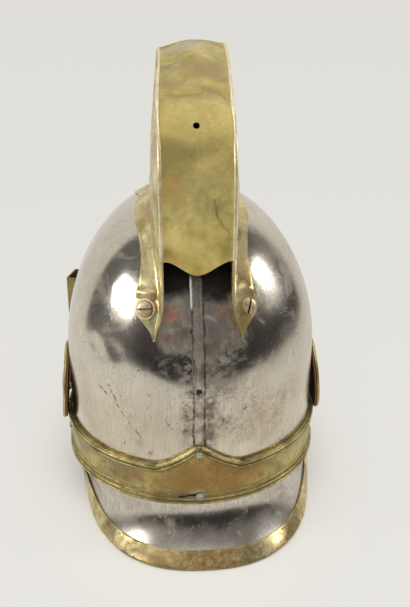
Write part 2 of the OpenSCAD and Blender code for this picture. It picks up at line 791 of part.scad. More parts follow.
hook_wire = 2.4;
hook_bend = 2.5;
hook_turn = 70;
hook_reach = 1.6;
module chin_scale_hook() {
    color("dimgray") on_skull(-hook_angle, hook_height) {
        translate([0, 0, inner_seat - 1]) cylinder(h = 1 - inner_seat + hook_reach, d = hook_wire, $fn = 24);
        translate([0, 0, 0.15]) cylinder(h = 0.9, d = 6, $fn = 32);
        translate([0, 0, inner_seat - 1.1]) cylinder(h = 1, d = 4.5, $fn = 32);
        translate([hook_bend, 0, hook_reach]) rotate([90, 0, 0]) rotate([0, 0, 180 - hook_turn]) {
            rotate_extrude(angle = hook_turn, $fn = 48) translate([hook_bend, 0]) circle(d = hook_wire, $fn = 24);
        }
        translate(hook_bend * [1 - cos(hook_turn), 0, sin(hook_turn)] + [0, 0, hook_reach]) {
            rotate([0, hook_turn, 0]) {
                cylinder(h = 6, d1 = hook_wire, d2 = hook_wire * 0.8, $fn = 24);
                translate([0, 0, 6]) sphere(d = hook_wire * 1.25, $fn = 32);
            }
        }
    }
}

// Chin scale bosses, which turn on their shanks

bush_outer = boss_shank + 3.6;
boss_brass = 1.2;
boss_hide = 1.6;
boss_tilt = 4;
boss_across = skull_half_width * sqrt(1 - pow(boss_y / skull_front, 2));
boss_wall = boss_across * girth(boss_height);
boss_over_band = boss_across * girth(band_height) + band_out + band_bead + 0.35
    - (boss_height - band_height) * tan(boss_tilt) - boss_wall;
boss_over_skull = boss_across + 0.3 + boss_size / 2 * sin(boss_tilt) - boss_wall;
boss_leather_in = max(boss_over_band, boss_over_skull);
boss_disc_in = boss_leather_in + boss_hide + 0.05;
boss_end = -8;
module boss_place(side) {
    translate([side * boss_wall, boss_y, boss_height + stand]) rotate([0, side * (90 - boss_tilt), 0]) children();
}

pin_at = -skull_sheet - 3.2;
pin_size = 2;

module boss() {
    rim = boss_size / 2;
    difference() {
        union() {
            translate([0, 0, boss_disc_in]) rotate_extrude($fn = 96) polygon([
                [0, 0], [rim, 0], [rim, boss_brass * 0.8], [rim - 0.6, boss_brass * 1.4],
                [rim - 2.2, boss_brass * 1.4], [rim - 3.2, boss_brass * 0.8], [rim * 0.62, boss_brass * 1.5],
                [rim * 0.4, boss_brass], [rim * 0.36, boss_brass * 1.2], [rim * 0.3, boss_brass * 2],
                [rim * 0.18, boss_brass * 2.6], [0, boss_brass * 2.8]
            ]);
            translate([0, 0, boss_end]) cylinder(h = boss_disc_in - boss_end + eps, d = boss_shank, $fn = 48);
        }
        for (k = [0:15]) rotate([0, 0, 22.5 * k]) {
            translate([rim * 0.46, 0, boss_disc_in + boss_brass * 1.5 + 0.5]) rotate([0, 90, 0]) {
                cylinder(h = rim * 0.4, d = 1.8, $fn = 24);
            }
        }
        translate([0, 0, pin_at]) rotate([90, 0, 0]) {
            cylinder(h = boss_shank + 2, d = pin_size + 0.1, center = true, $fn = 24);
        }
    }
}

module boss_leather() {
    difference() {
        translate([0, 0, boss_leather_in]) cylinder(h = boss_hide, d = boss_size - 1.5, $fn = 96);
        hole(boss_shank + 0.1);
    }
}

module boss_pin() {
    translate([0, 0, pin_at]) rotate([90, 0, 0]) cylinder(h = 12, d = pin_size, center = true, $fn = 24);
}

// Bush through the skull that the shank turns in, with a collar against the skull
module boss_bush() {
    difference() {
        union() {
            translate([0, 0, pin_at + pin_size / 2 + 0.2]) {
                cylinder(h = boss_leather_in - 0.3 - pin_at - pin_size / 2 - 0.2, d = bush_outer, $fn = 48);
            }
            translate([0, 0, 0.65]) cylinder(h = boss_leather_in - 0.95, d = bush_outer + 5, $fn = 48);
        }
        hole(boss_shank + 2 * running);
    }
}

module boss_left() { color("gold") boss_place(-1) boss(); }
module boss_right() { color("gold") boss_place(1) boss(); }
module boss_leather_left() { color("saddlebrown") boss_place(-1) boss_leather(); }
module boss_leather_right() { color("saddlebrown") boss_place(1) boss_leather(); }
module boss_pin_left() { color("dimgray") boss_place(-1) boss_pin(); }
module boss_pin_right() { color("dimgray") boss_place(1) boss_pin(); }
module boss_bush_left() { color("khaki") boss_place(-1) boss_bush(); }
module boss_bush_right() { color("khaki") boss_place(1) boss_bush(); }

// Rivets

module headband_rivets() {
    color("peru") {
        for (r = point_rivets) on_skull(r[0], r[1]) rivet(band_out + band_bead, inner_seat, 5);
        for (r = side_rivets) on_skull(r[0], r[1]) rivet(band_out + 0.15, inner_seat, 5);
    }
}

// Flush on the outside, where the headband covers them
module lap_rivet() {
    translate([0, 0, inner_seat]) {
        translate([0, 0, -eps]) cylinder(h = gap + guard_sheet - inner_seat, d = rivet_shank, $fn = 24);
        mirror([0, 0, 1]) rivet_head(4.5);
    }
}

module neck_guard_rivets() {
    color("slategray") for (a = guard_rivets) on_skull(a, lap_rivet_height) lap_rivet();
}

module visor_rivets() {
    color("slategray") for (a = visor_rivets) on_skull(a, lap_rivet_height) lap_rivet();
}

// Liner

liner_away = skull_sheet + 2.2;
liner_lean = 5;
liner_foot = 2.5;
function liner_out(h) = -liner_away - liner_lean * share((h - liner_foot) / liner_height);
module sweatband() {
    angles = [for (i = [0:39]) 9 * i];
    heights = [for (v = [0, 0.5, 1]) liner_foot + liner_height * v];
    color("saddlebrown") sheet(
        [for (h = heights) [for (a = angles) skull_at(a, h, liner_out(h))]],
        [for (h = heights) [for (a = angles) skull_at(a, h, liner_out(h) - leather)]],
        true
    );
}

tongue_count = 8;
tongue_low = liner_foot + liner_height - 6;
function tongue_strip(middle, extra) =
    [for (v = [0, 0.2, 0.4, 0.6, 0.8, 1]) [for (s = [-1, 0, 1])
        skull_at(
            middle + s * 19.5 * (1 - 0.25 * v * v),
            tongue_low + (crown - 36 - tongue_low) * sin(84 * v),
            liner_out(tongue_low) - leather - 0.9 - 12 * v - extra
        )]];
module crown_tongues() {
    color("sienna") for (k = [0:tongue_count - 1]) {
        middle = 360 * (k + 0.5) / tongue_count;
        sheet(tongue_strip(middle, 0), tongue_strip(middle, leather * 0.7));
    }
}

translate([0, place_y, 0]) {
    skull_bowl();
    headband_rear();
    headband_front();
    neck_guard();
    neck_guard_rim();
    visor();
    visor_rim();
    crest_flank_left();
    crest_flank_right();
    crest_gutter();
    crest_front_plate();
    tuft_socket();
    crest_screw_left();
    crest_screw_right();
    crest_screws_front();
    crest_nuts();
    ring_washer_left();
    plume_socket();
    plume_socket_rivets();
    chin_scale_hook();
    boss_left();
    boss_leather_left();
    boss_pin_left();
    boss_bush_left();
    boss_right();
    boss_leather_right();
    boss_pin_right();
    boss_bush_right();
    headband_rivets();
    neck_guard_rivets();
    visor_rivets();
    sweatband();
    crown_tongues();
}
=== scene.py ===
import json
import math

import bpy
from mathutils import Matrix, Vector


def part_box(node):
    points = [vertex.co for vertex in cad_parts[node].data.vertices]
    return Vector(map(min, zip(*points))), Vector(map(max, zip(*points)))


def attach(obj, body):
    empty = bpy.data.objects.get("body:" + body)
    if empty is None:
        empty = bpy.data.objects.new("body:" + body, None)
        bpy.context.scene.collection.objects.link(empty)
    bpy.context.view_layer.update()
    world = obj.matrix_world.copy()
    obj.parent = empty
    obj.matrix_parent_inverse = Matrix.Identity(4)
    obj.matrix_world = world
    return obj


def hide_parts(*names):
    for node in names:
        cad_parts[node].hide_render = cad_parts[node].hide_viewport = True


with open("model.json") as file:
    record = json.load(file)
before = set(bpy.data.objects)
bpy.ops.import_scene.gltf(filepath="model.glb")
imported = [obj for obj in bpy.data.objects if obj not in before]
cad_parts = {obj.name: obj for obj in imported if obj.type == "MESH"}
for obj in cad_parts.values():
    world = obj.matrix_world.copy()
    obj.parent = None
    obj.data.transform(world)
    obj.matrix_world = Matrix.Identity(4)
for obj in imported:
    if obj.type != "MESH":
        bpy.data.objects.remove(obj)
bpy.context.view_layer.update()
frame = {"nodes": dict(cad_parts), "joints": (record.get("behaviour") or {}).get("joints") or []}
scene = bpy.context.scene
nodes = frame["nodes"]
mm = 0.001  # stains, scratches and dents are given in millimetres, all else in metres


# Helpers for meshes

def inMetres(place):
    return Vector([part * mm for part in place])


def deselectAll():
    if bpy.context.object and bpy.context.object.mode == "EDIT":
        bpy.ops.object.mode_set(mode="OBJECT")
    bpy.ops.object.select_all(action="DESELECT")


def makeActive(piece):
    deselectAll()
    bpy.context.view_layer.objects.active = piece
    piece.select_set(True)


def openEdit(piece, pickMode="VERT"):
    makeActive(piece)
    bpy.ops.object.mode_set(mode="EDIT")
    bpy.ops.mesh.select_mode(type=pickMode)
    bpy.ops.mesh.select_all(action="DESELECT")


def closeEdit():
    bpy.ops.object.mode_set(mode="OBJECT")


def pickAll():
    bpy.ops.mesh.select_all(action="SELECT")


def pick(piece, test, faces=False):
    # selects by place: test gets a vertex's place, or a face's middle and normal
    closeEdit()
    mesh = piece.data
    for group in (mesh.vertices, mesh.edges, mesh.polygons):
        group.foreach_set("select", [False] * len(group))
    if faces:
        for p in mesh.polygons:
            p.select = test(p.center, p.normal)
    else:
        for v in mesh.vertices:
            v.select = test(v.co)
    bpy.ops.object.mode_set(mode="EDIT")


def extrude(step):
    bpy.ops.mesh.extrude_region_move(TRANSFORM_OT_translate={"value": step})


def widen(factors):
    bpy.ops.transform.resize(value=factors, center_override=(0, 0, 0))


def applyAll(piece):
    makeActive(piece)
    for modifier in list(piece.modifiers):
        bpy.ops.object.modifier_apply(modifier=modifier.name)


def settle(piece):
    # the piece's place goes into its mesh
    makeActive(piece)
    bpy.ops.object.transform_apply(location=True, rotation=True, scale=True)


def smooth(piece, angle):
    makeActive(piece)
    bpy.ops.object.shade_smooth_by_angle(angle=math.radians(angle))


def thicken(piece, thickness, offset):
    wall = piece.modifiers.new("sheet", "SOLIDIFY")
    wall.thickness = thickness
    wall.offset = offset


def softenEdges(piece, sharpest=30, width=0.0004):
    edge = piece.modifiers.new("edge", "BEVEL")
    edge.width = width
    edge.segments = 3
    edge.limit_method = "ANGLE"
    edge.angle_limit = math.radians(sharpest)


def subdivide(piece, levels):
    rounded = piece.modifiers.new("rounded", "SUBSURF")
    rounded.levels = levels
    rounded.render_levels = levels


def cutAway(piece, cutter):
    cut = piece.modifiers.new("cut", "BOOLEAN")
    cut.object = cutter
    cut.solver = "EXACT"
    applyAll(piece)
    bpy.data.objects.remove(cutter)


def mergedCopy(node, name, faceAngle, shapeAngle):
    # a copy of a CAD solid, its doubles merged and its triangles paired, left open in edit mode
    piece = nodes[node].copy()
    piece.data = nodes[node].data.copy()
    piece.name = name
    piece.parent = None
    for key in list(piece.keys()):
        del piece[key]
    scene.collection.objects.link(piece)
    openEdit(piece)
    pickAll()
    bpy.ops.mesh.remove_doubles(threshold=2e-6)
    bpy.ops.mesh.tris_convert_to_quads(face_threshold=math.radians(faceAngle),
                                       shape_threshold=math.radians(shapeAngle))
    return piece


def giveMaterials(piece, *materials):
    piece.data.materials.clear()
    for material in materials:
        piece.data.materials.append(material)


def declare(piece, body, node):
    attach(piece, body)
    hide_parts(node)
    print(piece.name, len(piece.data.polygons), "faces")


def corners(node):
    return (Vector(corner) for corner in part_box(node))


# Helpers for node trees

def setInputs(made, inputs):
    # an input takes a value, or the output of another node
    for name, value in inputs.items():
        socket = made.inputs[name]
        if isinstance(value, bpy.types.NodeSocket):
            made.id_data.links.new(value, socket)
        else:
            socket.default_value = (*value, 1) if socket.type == "RGBA" else value


def addNode(kind, inputs, tree=None, **settings):
    # the node goes into the tree of the outputs that it takes, or into the one that is given
    if not tree:
        tree = next(value.id_data for value in inputs.values() if isinstance(value, bpy.types.NodeSocket))
    made = tree.nodes.new("ShaderNode" + kind)
    for name, value in settings.items():
        setattr(made, name, value)
    setInputs(made, inputs)
    return made


def startMaterial(name, kind="BsdfPrincipled"):
    material = bpy.data.materials.new(name)
    material.use_nodes = True
    tree = material.node_tree
    tree.nodes.clear()
    shader = addNode(kind, {}, tree)
    addNode("OutputMaterial", {"Surface": shader.outputs[0]})
    return material, shader, addNode("TexCoord", {}, tree).outputs["Object"]


def mathNode(kind, first, second=0.0, clamp=False):
    return addNode("Math", {0: first, 1: second}, operation=kind, use_clamp=clamp).outputs[0]


def times(product, *values):
    for value in values:
        product = mathNode("MULTIPLY", product, value)
    return product


def most(largest, *values):
    for value in values:
        largest = mathNode("MAXIMUM", largest, value)
    return largest


def plus(first, second):
    return mathNode("ADD", first, second, True)


def less(whole, taken, clamp=False):
    return mathNode("SUBTRACT", whole, taken, clamp)


def mapRange(value, start, end, first=0, last=1, kind="SMOOTHSTEP"):
    inputs = {"Value": value, "From Min": start, "From Max": end, "To Min": first, "To Max": last}
    return addNode("MapRange", inputs, interpolation_type=kind).outputs[0]


def vectorMath(kind, inputs, output=0):
    return addNode("VectorMath", inputs, operation=kind).outputs[output]


def separated(place):
    return addNode("SeparateXYZ", {0: place}).outputs


def noise(place, scale, detail=4, roughness=0.55, warp=0.0):
    inputs = {"Vector": place, "Scale": scale, "Detail": detail, "Roughness": roughness, "Distortion": warp}
    return addNode("TexNoise", inputs).outputs["Fac"]


def stretched(place, scale):
    return addNode("Mapping", {"Vector": place, "Scale": scale}).outputs[0]


def ramp(value, stops):
    made = addNode("ValToRGB", {0: value})
    elements = made.color_ramp.elements
    while len(elements) < len(stops):  # a new one goes in before the last
        elements.new(0.5)
    for element, (at, colour) in zip(elements, stops):
        element.position = at
        element.color = (*colour, 1) if isinstance(colour, tuple) else (colour, colour, colour, 1)
    return made.outputs[0]


def blendColour(share, first, second, kind="MIX"):
    inputs = {0: share, 6: first, 7: second}
    return addNode("Mix", inputs, data_type="RGBA", blend_type=kind).outputs[2]


def bumps(shader, *layers):
    # layers of (height, strength, distance), each on the one before
    inputs = {}
    for height, strength, distance in layers:
        inputs.update({"Height": height, "Strength": strength, "Distance": distance})
        inputs = {"Normal": addNode("Bump", inputs).outputs[0]}
    setInputs(shader, inputs)


def spot(place, at, near, far):
    # 1 inside the near distance of a point, falling to 0 at the far one
    return mapRange(vectorMath("DISTANCE", {0: place, 1: at}, "Value"), near, far, 1, 0)


def crooked(place, scale, amount):
    # the place with its edges made uneven
    made = addNode("TexNoise", {"Vector": place, "Scale": scale, "Detail": 5})
    centred = vectorMath("SUBTRACT", {0: made.outputs["Color"], 1: (0.5, 0.5, 0.5)})
    return vectorMath("ADD", {0: place, 1: vectorMath("SCALE", {0: centred, "Scale": amount})})


def along(place, start, direction):
    # distance along a direction from a point
    away = vectorMath("SUBTRACT", {0: place, 1: start})
    return vectorMath("DOT_PRODUCT", {0: away, 1: direction}, "Value")


def window(value, low, high, soft):
    # 1 between low and high, with soft ends
    return times(mapRange(value, low - soft, low), mapRange(value, high + soft, high))


# Camera

cameraPlace = {"at": (-0.0402, -0.6749, 0.4619), "target": (0.0106, -0.0298, 0.1463), "lens": 59.66}
cameraData = bpy.data.cameras.new("photoCamera")
camera = bpy.data.objects.new("photoCamera", cameraData)
scene.collection.objects.link(camera)
camera.location = cameraPlace["at"]
camera.rotation_euler = (Vector(cameraPlace["target"]) - camera.location).to_track_quat("-Z", "Y").to_euler()
cameraData.lens = cameraPlace["lens"]
scene.camera = camera

# Studio: pale floor and world, a dark room side that only the metal sees, and four lamps

studio = {
    "paper": (0.80, 0.785, 0.74),
    "seen": (0.782, 0.766, 0.726),
    "evenness": 0.84,
    "footprint": (0.092, 0.138),
    "room": [(0.0, (0.026, 0.023, 0.023)), (0.35, (0.085, 0.078, 0.078)), (1.0, (0.12, 0.11, 0.108))],
    "roomEdge": [(-0.66, 0.20), (-0.72, -0.10), (-0.66, -0.32), (-0.33, -0.46), (0.02, -0.42),
                 (0.38, -0.31), (0.56, -0.09), (0.68, 0.36)],
    "leftGlow": (-0.40, -0.68), "leftRoom": (0.16, 0.156, 0.158),
    "roomHeight": (0.40, 1.27, 0.10, 1.1),  # behind the helmet, rise to the sides, from where, most
    "roomFoot": 0.001,
    "ambient": 0.62, "daylight": (1.0, 0.985, 0.96),
    "shadow": (0.8, 1.5),  # where the open paper starts and is full, in footprints
}
scene.view_settings.view_transform = "Standard"

world = bpy.data.worlds.new("paperRoom")
scene.world = world
world.use_nodes = True
worldTree = world.node_tree
worldTree.nodes.clear()
rays = addNode("LightPath", {}, worldTree).outputs
seenWorld = addNode("Background", {"Color": studio["seen"], "Strength": 1}, worldTree)
lightWorld = addNode("Background", {"Color": studio["daylight"], "Strength": studio["ambient"]}, worldTree)
seenRays = most(rays["Is Camera Ray"], rays["Is Glossy Ray"], rays["Is Transmission Ray"])
mixWorld = addNode("MixShader", {0: seenRays, 1: lightWorld.outputs[0], 2: seenWorld.outputs[0]})
addNode("OutputWorld", {"Surface": mixWorld.outputs[0]})

deselectAll()
bpy.ops.mesh.primitive_plane_add(size=12, location=(0, 0, 0))
floor = bpy.context.object
floor.name = "paperFloor"
floorPaint, floorMix, floorPlace = startMaterial("paper", "MixShader")
floorTree = floorPaint.node_tree
matt = {"Base Color": studio["paper"], "Roughness": 0.9, "Specular IOR Level": 0.2}
paper = addNode("BsdfPrincipled", matt, floorTree)
floorGlow = addNode("Emission", {"Color": studio["seen"]}, floorTree)
rays = addNode("LightPath", {}, floorTree).outputs
seenRays = most(rays["Is Camera Ray"], rays["Is Glossy Ray"])
halfWide, halfLong = studio["footprint"]
underHelmet = stretched(floorPlace, (1 / halfWide, 1 / halfLong, 0))
openPaper = mapRange(vectorMath("LENGTH", {0: underHelmet}, "Value"),
                     *studio["shadow"], kind="LINEAR")
floorShare = times(seenRays, studio["evenness"], openPaper)
setInputs(floorMix, {0: floorShare, 1: paper.outputs[0], 2: floorGlow.outputs[0]})
giveMaterials(floor, floorPaint)

# The wall grows from one corner of a small plane, point by point, and is then drawn up
deselectAll()
bpy.ops.mesh.primitive_plane_add(size=0.02, location=(0, 0, 0))
roomSide = bpy.context.object
roomSide.name = "darkRoomSide"
openEdit(roomSide)
pick(roomSide, lambda co: co.x > 0 or co.y > 0)
bpy.ops.mesh.delete(type="VERT")
closeEdit()
roomSide.data.vertices[0].co = (*studio["roomEdge"][0], studio["roomFoot"])
openEdit(roomSide)
pickAll()
for here, there in zip(studio["roomEdge"], studio["roomEdge"][1:]):
    extrude((there[0] - here[0], there[1] - here[1], 0))
pickAll()
extrude((0, 0, 1))
closeEdit()
nearHeight, heightRise, riseFrom, mostHeight = studio["roomHeight"]
for v in roomSide.data.vertices:
    if v.co.z > 2 * studio["roomFoot"]:
        v.co.z = min(mostHeight, nearHeight + heightRise * max(0, abs(v.co.x) - riseFrom))
roomPaint, roomGlow, roomPlace = startMaterial("darkRoom", "Emission")
roomParts = separated(roomPlace)
leftGlow = mapRange(roomParts["X"], *studio["leftGlow"], kind="LINEAR")
roomTone = blendColour(leftGlow, ramp(roomParts["Z"], studio["room"]), studio["leftRoom"])
setInputs(roomGlow, {"Color": roomTone})
giveMaterials(roomSide, roomPaint)
roomSide.visible_camera = False
roomSide.visible_diffuse = False
roomSide.visible_shadow = False
roomSide.visible_transmission = False


def softBox(name, at, target, size, power):
    data = bpy.data.lights.new(name, "AREA")
    data.shape = "RECTANGLE"
    data.size, data.size_y = size
    data.energy = power
    lamp = bpy.data.objects.new(name, data)
    scene.collection.objects.link(lamp)
    lamp.location = at
    lamp.rotation_euler = (Vector(target) - Vector(at)).to_track_quat("-Z", "Y").to_euler()
    return lamp


# name, place, target, size and watts
softBox("leftBox", (-0.50, -0.22, 0.335), (-0.04, -0.08, 0.18), (0.22, 0.16), 1.0)
softBox("rightBox", (0.51, -0.12, 0.36), (0.04, -0.08, 0.18), (0.14, 0.16), 0.7)
softBox("overheadBox", (0.0, -0.1, 1.6), (0, 0, 0), (1.6, 1.6), 6.0)
frontFill = softBox("frontFill", (0.1, -1.3, 0.7), (0, 0, 0.15), (1.4, 1.0), 7.5)
frontFill.visible_glossy = False
print("studio ready")


# Bowl sizes, which the stains need too

bowl = {
    "halfWidth": 0.088, "rear": 0.088, "front": 0.122, "rise": 0.115, "belly": 0.119, "middle": -0.029,
    "lip": 0.0395, "foot": 0.038, "tuck": 0.015, "sheet": 0.0012, "ridgeFoot": 0.051, "rows": 9,
    "ridge": [(0.0036, 0.0), (0.0029, 0.0008), (0.0018, 0.0004), (0.0007, 0.0002)],  # half width, lift there
    "hole": 0.002, "holeAt": (0, -0.1165, 0.126), "holeDeep": 0.012,
}
bowlHeart = (0, bowl["middle"], 0.12)


# Materials

def streak(place, start, end, outward, width, softEnd=0.002):
    # 1 on a thin scratch between two points of a surface, given in mm
    start, end = inMetres(start), inMetres(end)
    run = (end - start).length
    way = (end - start).normalized()
    side = way.cross(Vector(outward)).normalized()
    across = window(along(place, start, side), -width, width, width)
    length = window(along(place, start, way), 0, run, softEnd)
    near = spot(place, (start + end) / 2, run, run * 1.2 + softEnd)
    return times(across, length, near)


def stained(place, tone, stains, patches=((0.44, 0.1), (0.55, 1.0))):
    # stains are (place, near, far, colour, share) in mm; gives the colour and what is covered
    uneven = crooked(place, 170, 0.010)
    broken = ramp(noise(place, 230, 9, 0.78), patches)
    covered = 0.0
    for at, near, far, colour, share in stains:
        mask = times(spot(uneven, inMetres(at), near * mm, far * mm), broken, share)
        tone = blendColour(mask, tone, colour)
        covered = most(covered, mask)
    return tone, covered


def scratched(place, lines, width=0.00034):
    # lines are lists of places on the bowl, each run a broken thin scratch
    found = 0.0
    uneven = crooked(place, 170, 0.004)
    for line in lines:
        for start, end in zip(line, line[1:]):
            outward = Vector((start[0] * mm, start[1] * mm - bowl["middle"], 0))
            found = most(found, streak(uneven, start, end, outward, width))
    return times(found, ramp(noise(place, 330, 5, 0.7), [(0.44, 0.0), (0.54, 1.0)]))


ridgeLook = {
    "foot": (0.0034, 0.0040), "smear": 0.007, "crown": 0.0030,  # distances from the middle
    "unpolished": (0.016, 0.160), "shaded": (0.022, 0.190),  # how wide, and from what height
    "warmBelow": 0.10, "highlightAside": (-0.0042, -0.0032), "highlightHigh": (0.182, 0.194), "top": 0.30,
    "warm": (1.0, 0.965, 0.90), "line": (0.035, 0.025, 0.018), "grease": (0.10, 0.07, 0.048),
    "shade": (0.010, 0.008, 0.006), "highlightTone": (0.92, 0.90, 0.84),
    "mottle": [(0.43, (0.014, 0.010, 0.008)), (0.50, (0.045, 0.032, 0.025)), (0.56, (0.12, 0.10, 0.075)),
               (0.64, (0.27, 0.26, 0.20))],
}


def ridgeDirtShadeAndHighlight(place, tone):
    # dark lines at the ridge's feet, unpolished mottled metal between the crest's feet, painted shade in the
    # hollow under the crest, and a painted highlight on the ridge's left slope
    look = ridgeLook
    aside = mathNode("ABSOLUTE", separated(crooked(place, 150, 0.0034))["X"])
    gaps = ramp(noise(place, 120, 6, 0.7), [(0.40, 0.15), (0.56, 1.0)])
    lines = times(window(aside, *look["foot"], 0.0009), gaps)
    wide = separated(crooked(place, 60, 0.024))
    warm = window(wide["Z"], -0.1, look["warmBelow"], 0.03)
    tone = blendColour(warm, tone, look["warm"], "MULTIPLY")
    (dullWide, dullFrom), (shadeWide, shadeFrom) = look["unpolished"], look["shaded"]
    middle = window(mathNode("ABSOLUTE", wide["X"]), 0.0, dullWide, 0.014)
    high = window(wide["Z"], dullFrom, look["top"], 0.014)
    crownLine = window(aside, 0.0, look["crown"], 0.0006)
    duller = times(middle, high, 0.8, less(1.0, times(crownLine, 0.7)))
    tone = blendColour(duller, tone, ramp(noise(place, 85, 9, 0.75, 0.3), look["mottle"]))
    patchy = ramp(noise(place, 75, 6, 0.7), [(0.46, 0.0), (0.60, 1.0)])
    smear = times(window(aside, 0.0, look["smear"], 0.009), patchy, 0.7)
    tone = blendColour(smear, tone, look["grease"])
    tone = blendColour(lines, tone, look["line"])
    # painted shade: the hollow under the crest, between its feet, is darkened nearly to black, save along
    # the ridge's crown
    shaded = window(wide["Z"], shadeFrom, look["top"], 0.009)
    paintedShadeUnderCrest = times(shaded, window(aside, 0.0, shadeWide, 0.003))
    paintedShadeUnderCrest = less(paintedShadeUnderCrest, times(crownLine, 0.55), True)
    tone = blendColour(paintedShadeUnderCrest, tone, look["shade"])
    # painted highlight: a near-white streak on the ridge's left slope, standing in for the left lamp's
    # reflection
    exact = separated(crooked(place, 300, 0.0006))
    paintedHighlight = times(window(exact["X"], *look["highlightAside"], 0.0004),
                   window(exact["Z"], *look["highlightHigh"], 0.005), 0.85)
    tone = blendColour(paintedHighlight, tone, look["highlightTone"])
    return tone, most(duller, smear, lines, paintedShadeUnderCrest)


# In a look, clouds are (scale, dull, bright), tarnish (scale, share, colour), pits (scale, colour),
# wave (scale, strength) and rough (least, most)

def steelFinish(name, look):
    material, shader, place = startMaterial(name)
    cloudScale, dull, bright = look["clouds"]
    stainScale, stainShare, stain = look["tarnish"]
    pitScale, pit = look["pits"]
    clouds = noise(place, cloudScale, 5, 0.6, 0.4)
    tone = ramp(clouds, [(0.3, dull), (0.7, bright)])
    brushed = noise(stretched(place, (900, 900, 70)), 1, 4, 0.6)
    tone = blendColour(ramp(brushed, [(0.4, 0.0), (0.75, look["grainShare"])]), tone, stain)
    grain = ramp(noise(place, 1300, 4, 0.7), [(0.5, 0.0), (0.7, 1.0)])
    patches = ramp(noise(place, 34, 4, 0.6), [(0.42, 0.15), (0.62, 1.0)])
    tone = blendColour(times(grain, patches, look["grainShare"]), tone, pit)
    tarnish = ramp(noise(place, stainScale, 7, 0.7, 0.8), [(0.54, 0.0), (0.70, 1.0)])
    tarnish = times(tarnish, stainShare)
    tone = blendColour(tarnish, tone, stain)
    pits = ramp(noise(place, pitScale, 4, 0.6), [(0.62, 0.0), (0.69, 1.0)])
    pits = times(pits, patches)
    tone = blendColour(times(pits, 0.85), tone, pit)
    tone, covered = stained(place, tone, look.get("stains", []))
    covered = most(covered, tarnish)
    if "copper" in look:
        tone, dirtAndShade = ridgeDirtShadeAndHighlight(place, tone)
        tone, onTop = stained(place, tone, look["copper"])
        covered = most(covered, dirtAndShade, onTop)
    if "scratches" in look:
        scratches = scratched(place, look["scratches"])
        tone = blendColour(times(scratches, 0.8), tone, pit)
        pits = most(pits, scratches)
    least, roughest = look["rough"]
    rough = plus(ramp(clouds, [(0.25, least), (0.75, roughest)]), times(pits, 0.12))
    rough = plus(rough, times(covered, 0.28))
    if "wornRight" in look:
        side = along(crooked(place, 40, 0.03), (0, 0, 0), (1, 0, 0))
        rough = plus(rough, mapRange(side, 0.01, 0.07, 0, look["wornRight"]))
    if "wornLow" in look:
        low = along(crooked(place, 60, 0.012), (0, 0, 0), (0, 0, 1))
        scuffed = window(low, -0.1, look["wornLow"], 0.008)
        rough = plus(rough, times(scuffed, 0.08))
        covered = most(covered, times(scuffed, 0.12))
    metal = less(1.0, times(covered, 0.75))
    setInputs(shader, {"Base Color": tone, "Metallic": metal, "Roughness": rough})
    bumps(shader, (noise(place, 16, 2), 0.3, 0.0014), (brushed, 0.05, 0.0002), (pits, 0.15, -0.0002))
    return material


def brassFinish(name, look):
    material, shader, place = startMaterial(name)
    cloudScale, dull, bright = look["clouds"]
    stainScale, stainShare, stain = look["tarnish"]
    clouds = noise(place, cloudScale, 6, 0.65, 0.6)
    tone = ramp(clouds, [(0.38, dull), (0.60, bright)])
    tarnish = ramp(noise(place, stainScale, 7, 0.7, 1.2), [(0.50, 0.0), (0.64, 1.0)])
    tarnish = times(tarnish, stainShare)
    tone = blendColour(tarnish, tone, stain)
    olive = ramp(noise(place, stainScale * 0.6, 6, 0.65, 0.9), [(0.52, 0.0), (0.66, 1.0)])
    tone = blendColour(times(olive, look.get("oliveShare", 0.35)), tone, (0.36, 0.33, 0.10))
    grain = ramp(noise(place, 700, 5, 0.7), [(0.46, 0.0), (0.72, 1.0)])
    tone = blendColour(times(grain, 0.45), tone, stain)
    gathered = ramp(noise(place, 70, 4, 0.6), [(0.45, 0.1), (0.62, 1.0)])
    specks = ramp(noise(place, 620, 4, 0.65), [(0.60, 0.0), (0.65, 1.0)])
    specks = times(specks, gathered)
    tone = blendColour(times(specks, 0.8), tone, look["speck"])
    tone, covered = stained(place, tone, look.get("stains", []), ((0.36, 0.5), (0.60, 1.0)))
    slitWidth, slitShare, slitBend = look.get("shadedSlitLook", (0.0007, 1.0, 0.0012))
    # Each slit is a crack or crease drawn as a near-black line: painted shade in it.
    for start, end in look.get("shadedSlits", []):
        slitShade = streak(crooked(place, 200, slitBend), start, end, (0, -1, 0), slitWidth)
        slitShade = times(slitShade, slitShare)
        tone = blendColour(slitShade, tone, (0.015, 0.012, 0.01))
        covered = most(covered, slitShade)
    covered = most(covered, specks, tarnish)
    full = look.get("metallic", 0.85)
    metal = less(full, times(covered, full * 0.5))
    least, roughest = look["rough"]
    rough = plus(ramp(clouds, [(0.3, least), (0.7, roughest)]), times(covered, 0.15))
    setInputs(shader, {"Base Color": tone, "Metallic": metal, "Roughness": rough})
    waveScale, waveStrength = look["wave"]
    bumps(shader, (noise(place, waveScale, 2), waveStrength, 0.002),
          (noise(place, 260, 4), 0.15, 0.0003), (specks, 0.3, -0.0001))
    return material


def leatherFinish(name, scale, dark, light):
    material, shader, place = startMaterial(name)
    tone = ramp(noise(place, scale, 5, 0.6, 0.3), [(0.3, dark), (0.7, light)])
    grain = addNode("TexVoronoi", {"Vector": place, "Scale": 900}).outputs["Distance"]
    creases = ramp(grain, [(0.0, 0.0), (0.6, 1.0)])
    tone = blendColour(times(creases, 0.25), tone, dark)
    setInputs(shader, {"Base Color": tone, "Roughness": 0.62, "Specular IOR Level": 0.35})
    bumps(shader, (noise(place, 60, 3), 0.3, 0.001), (creases, 0.35, 0.0002))
    return material


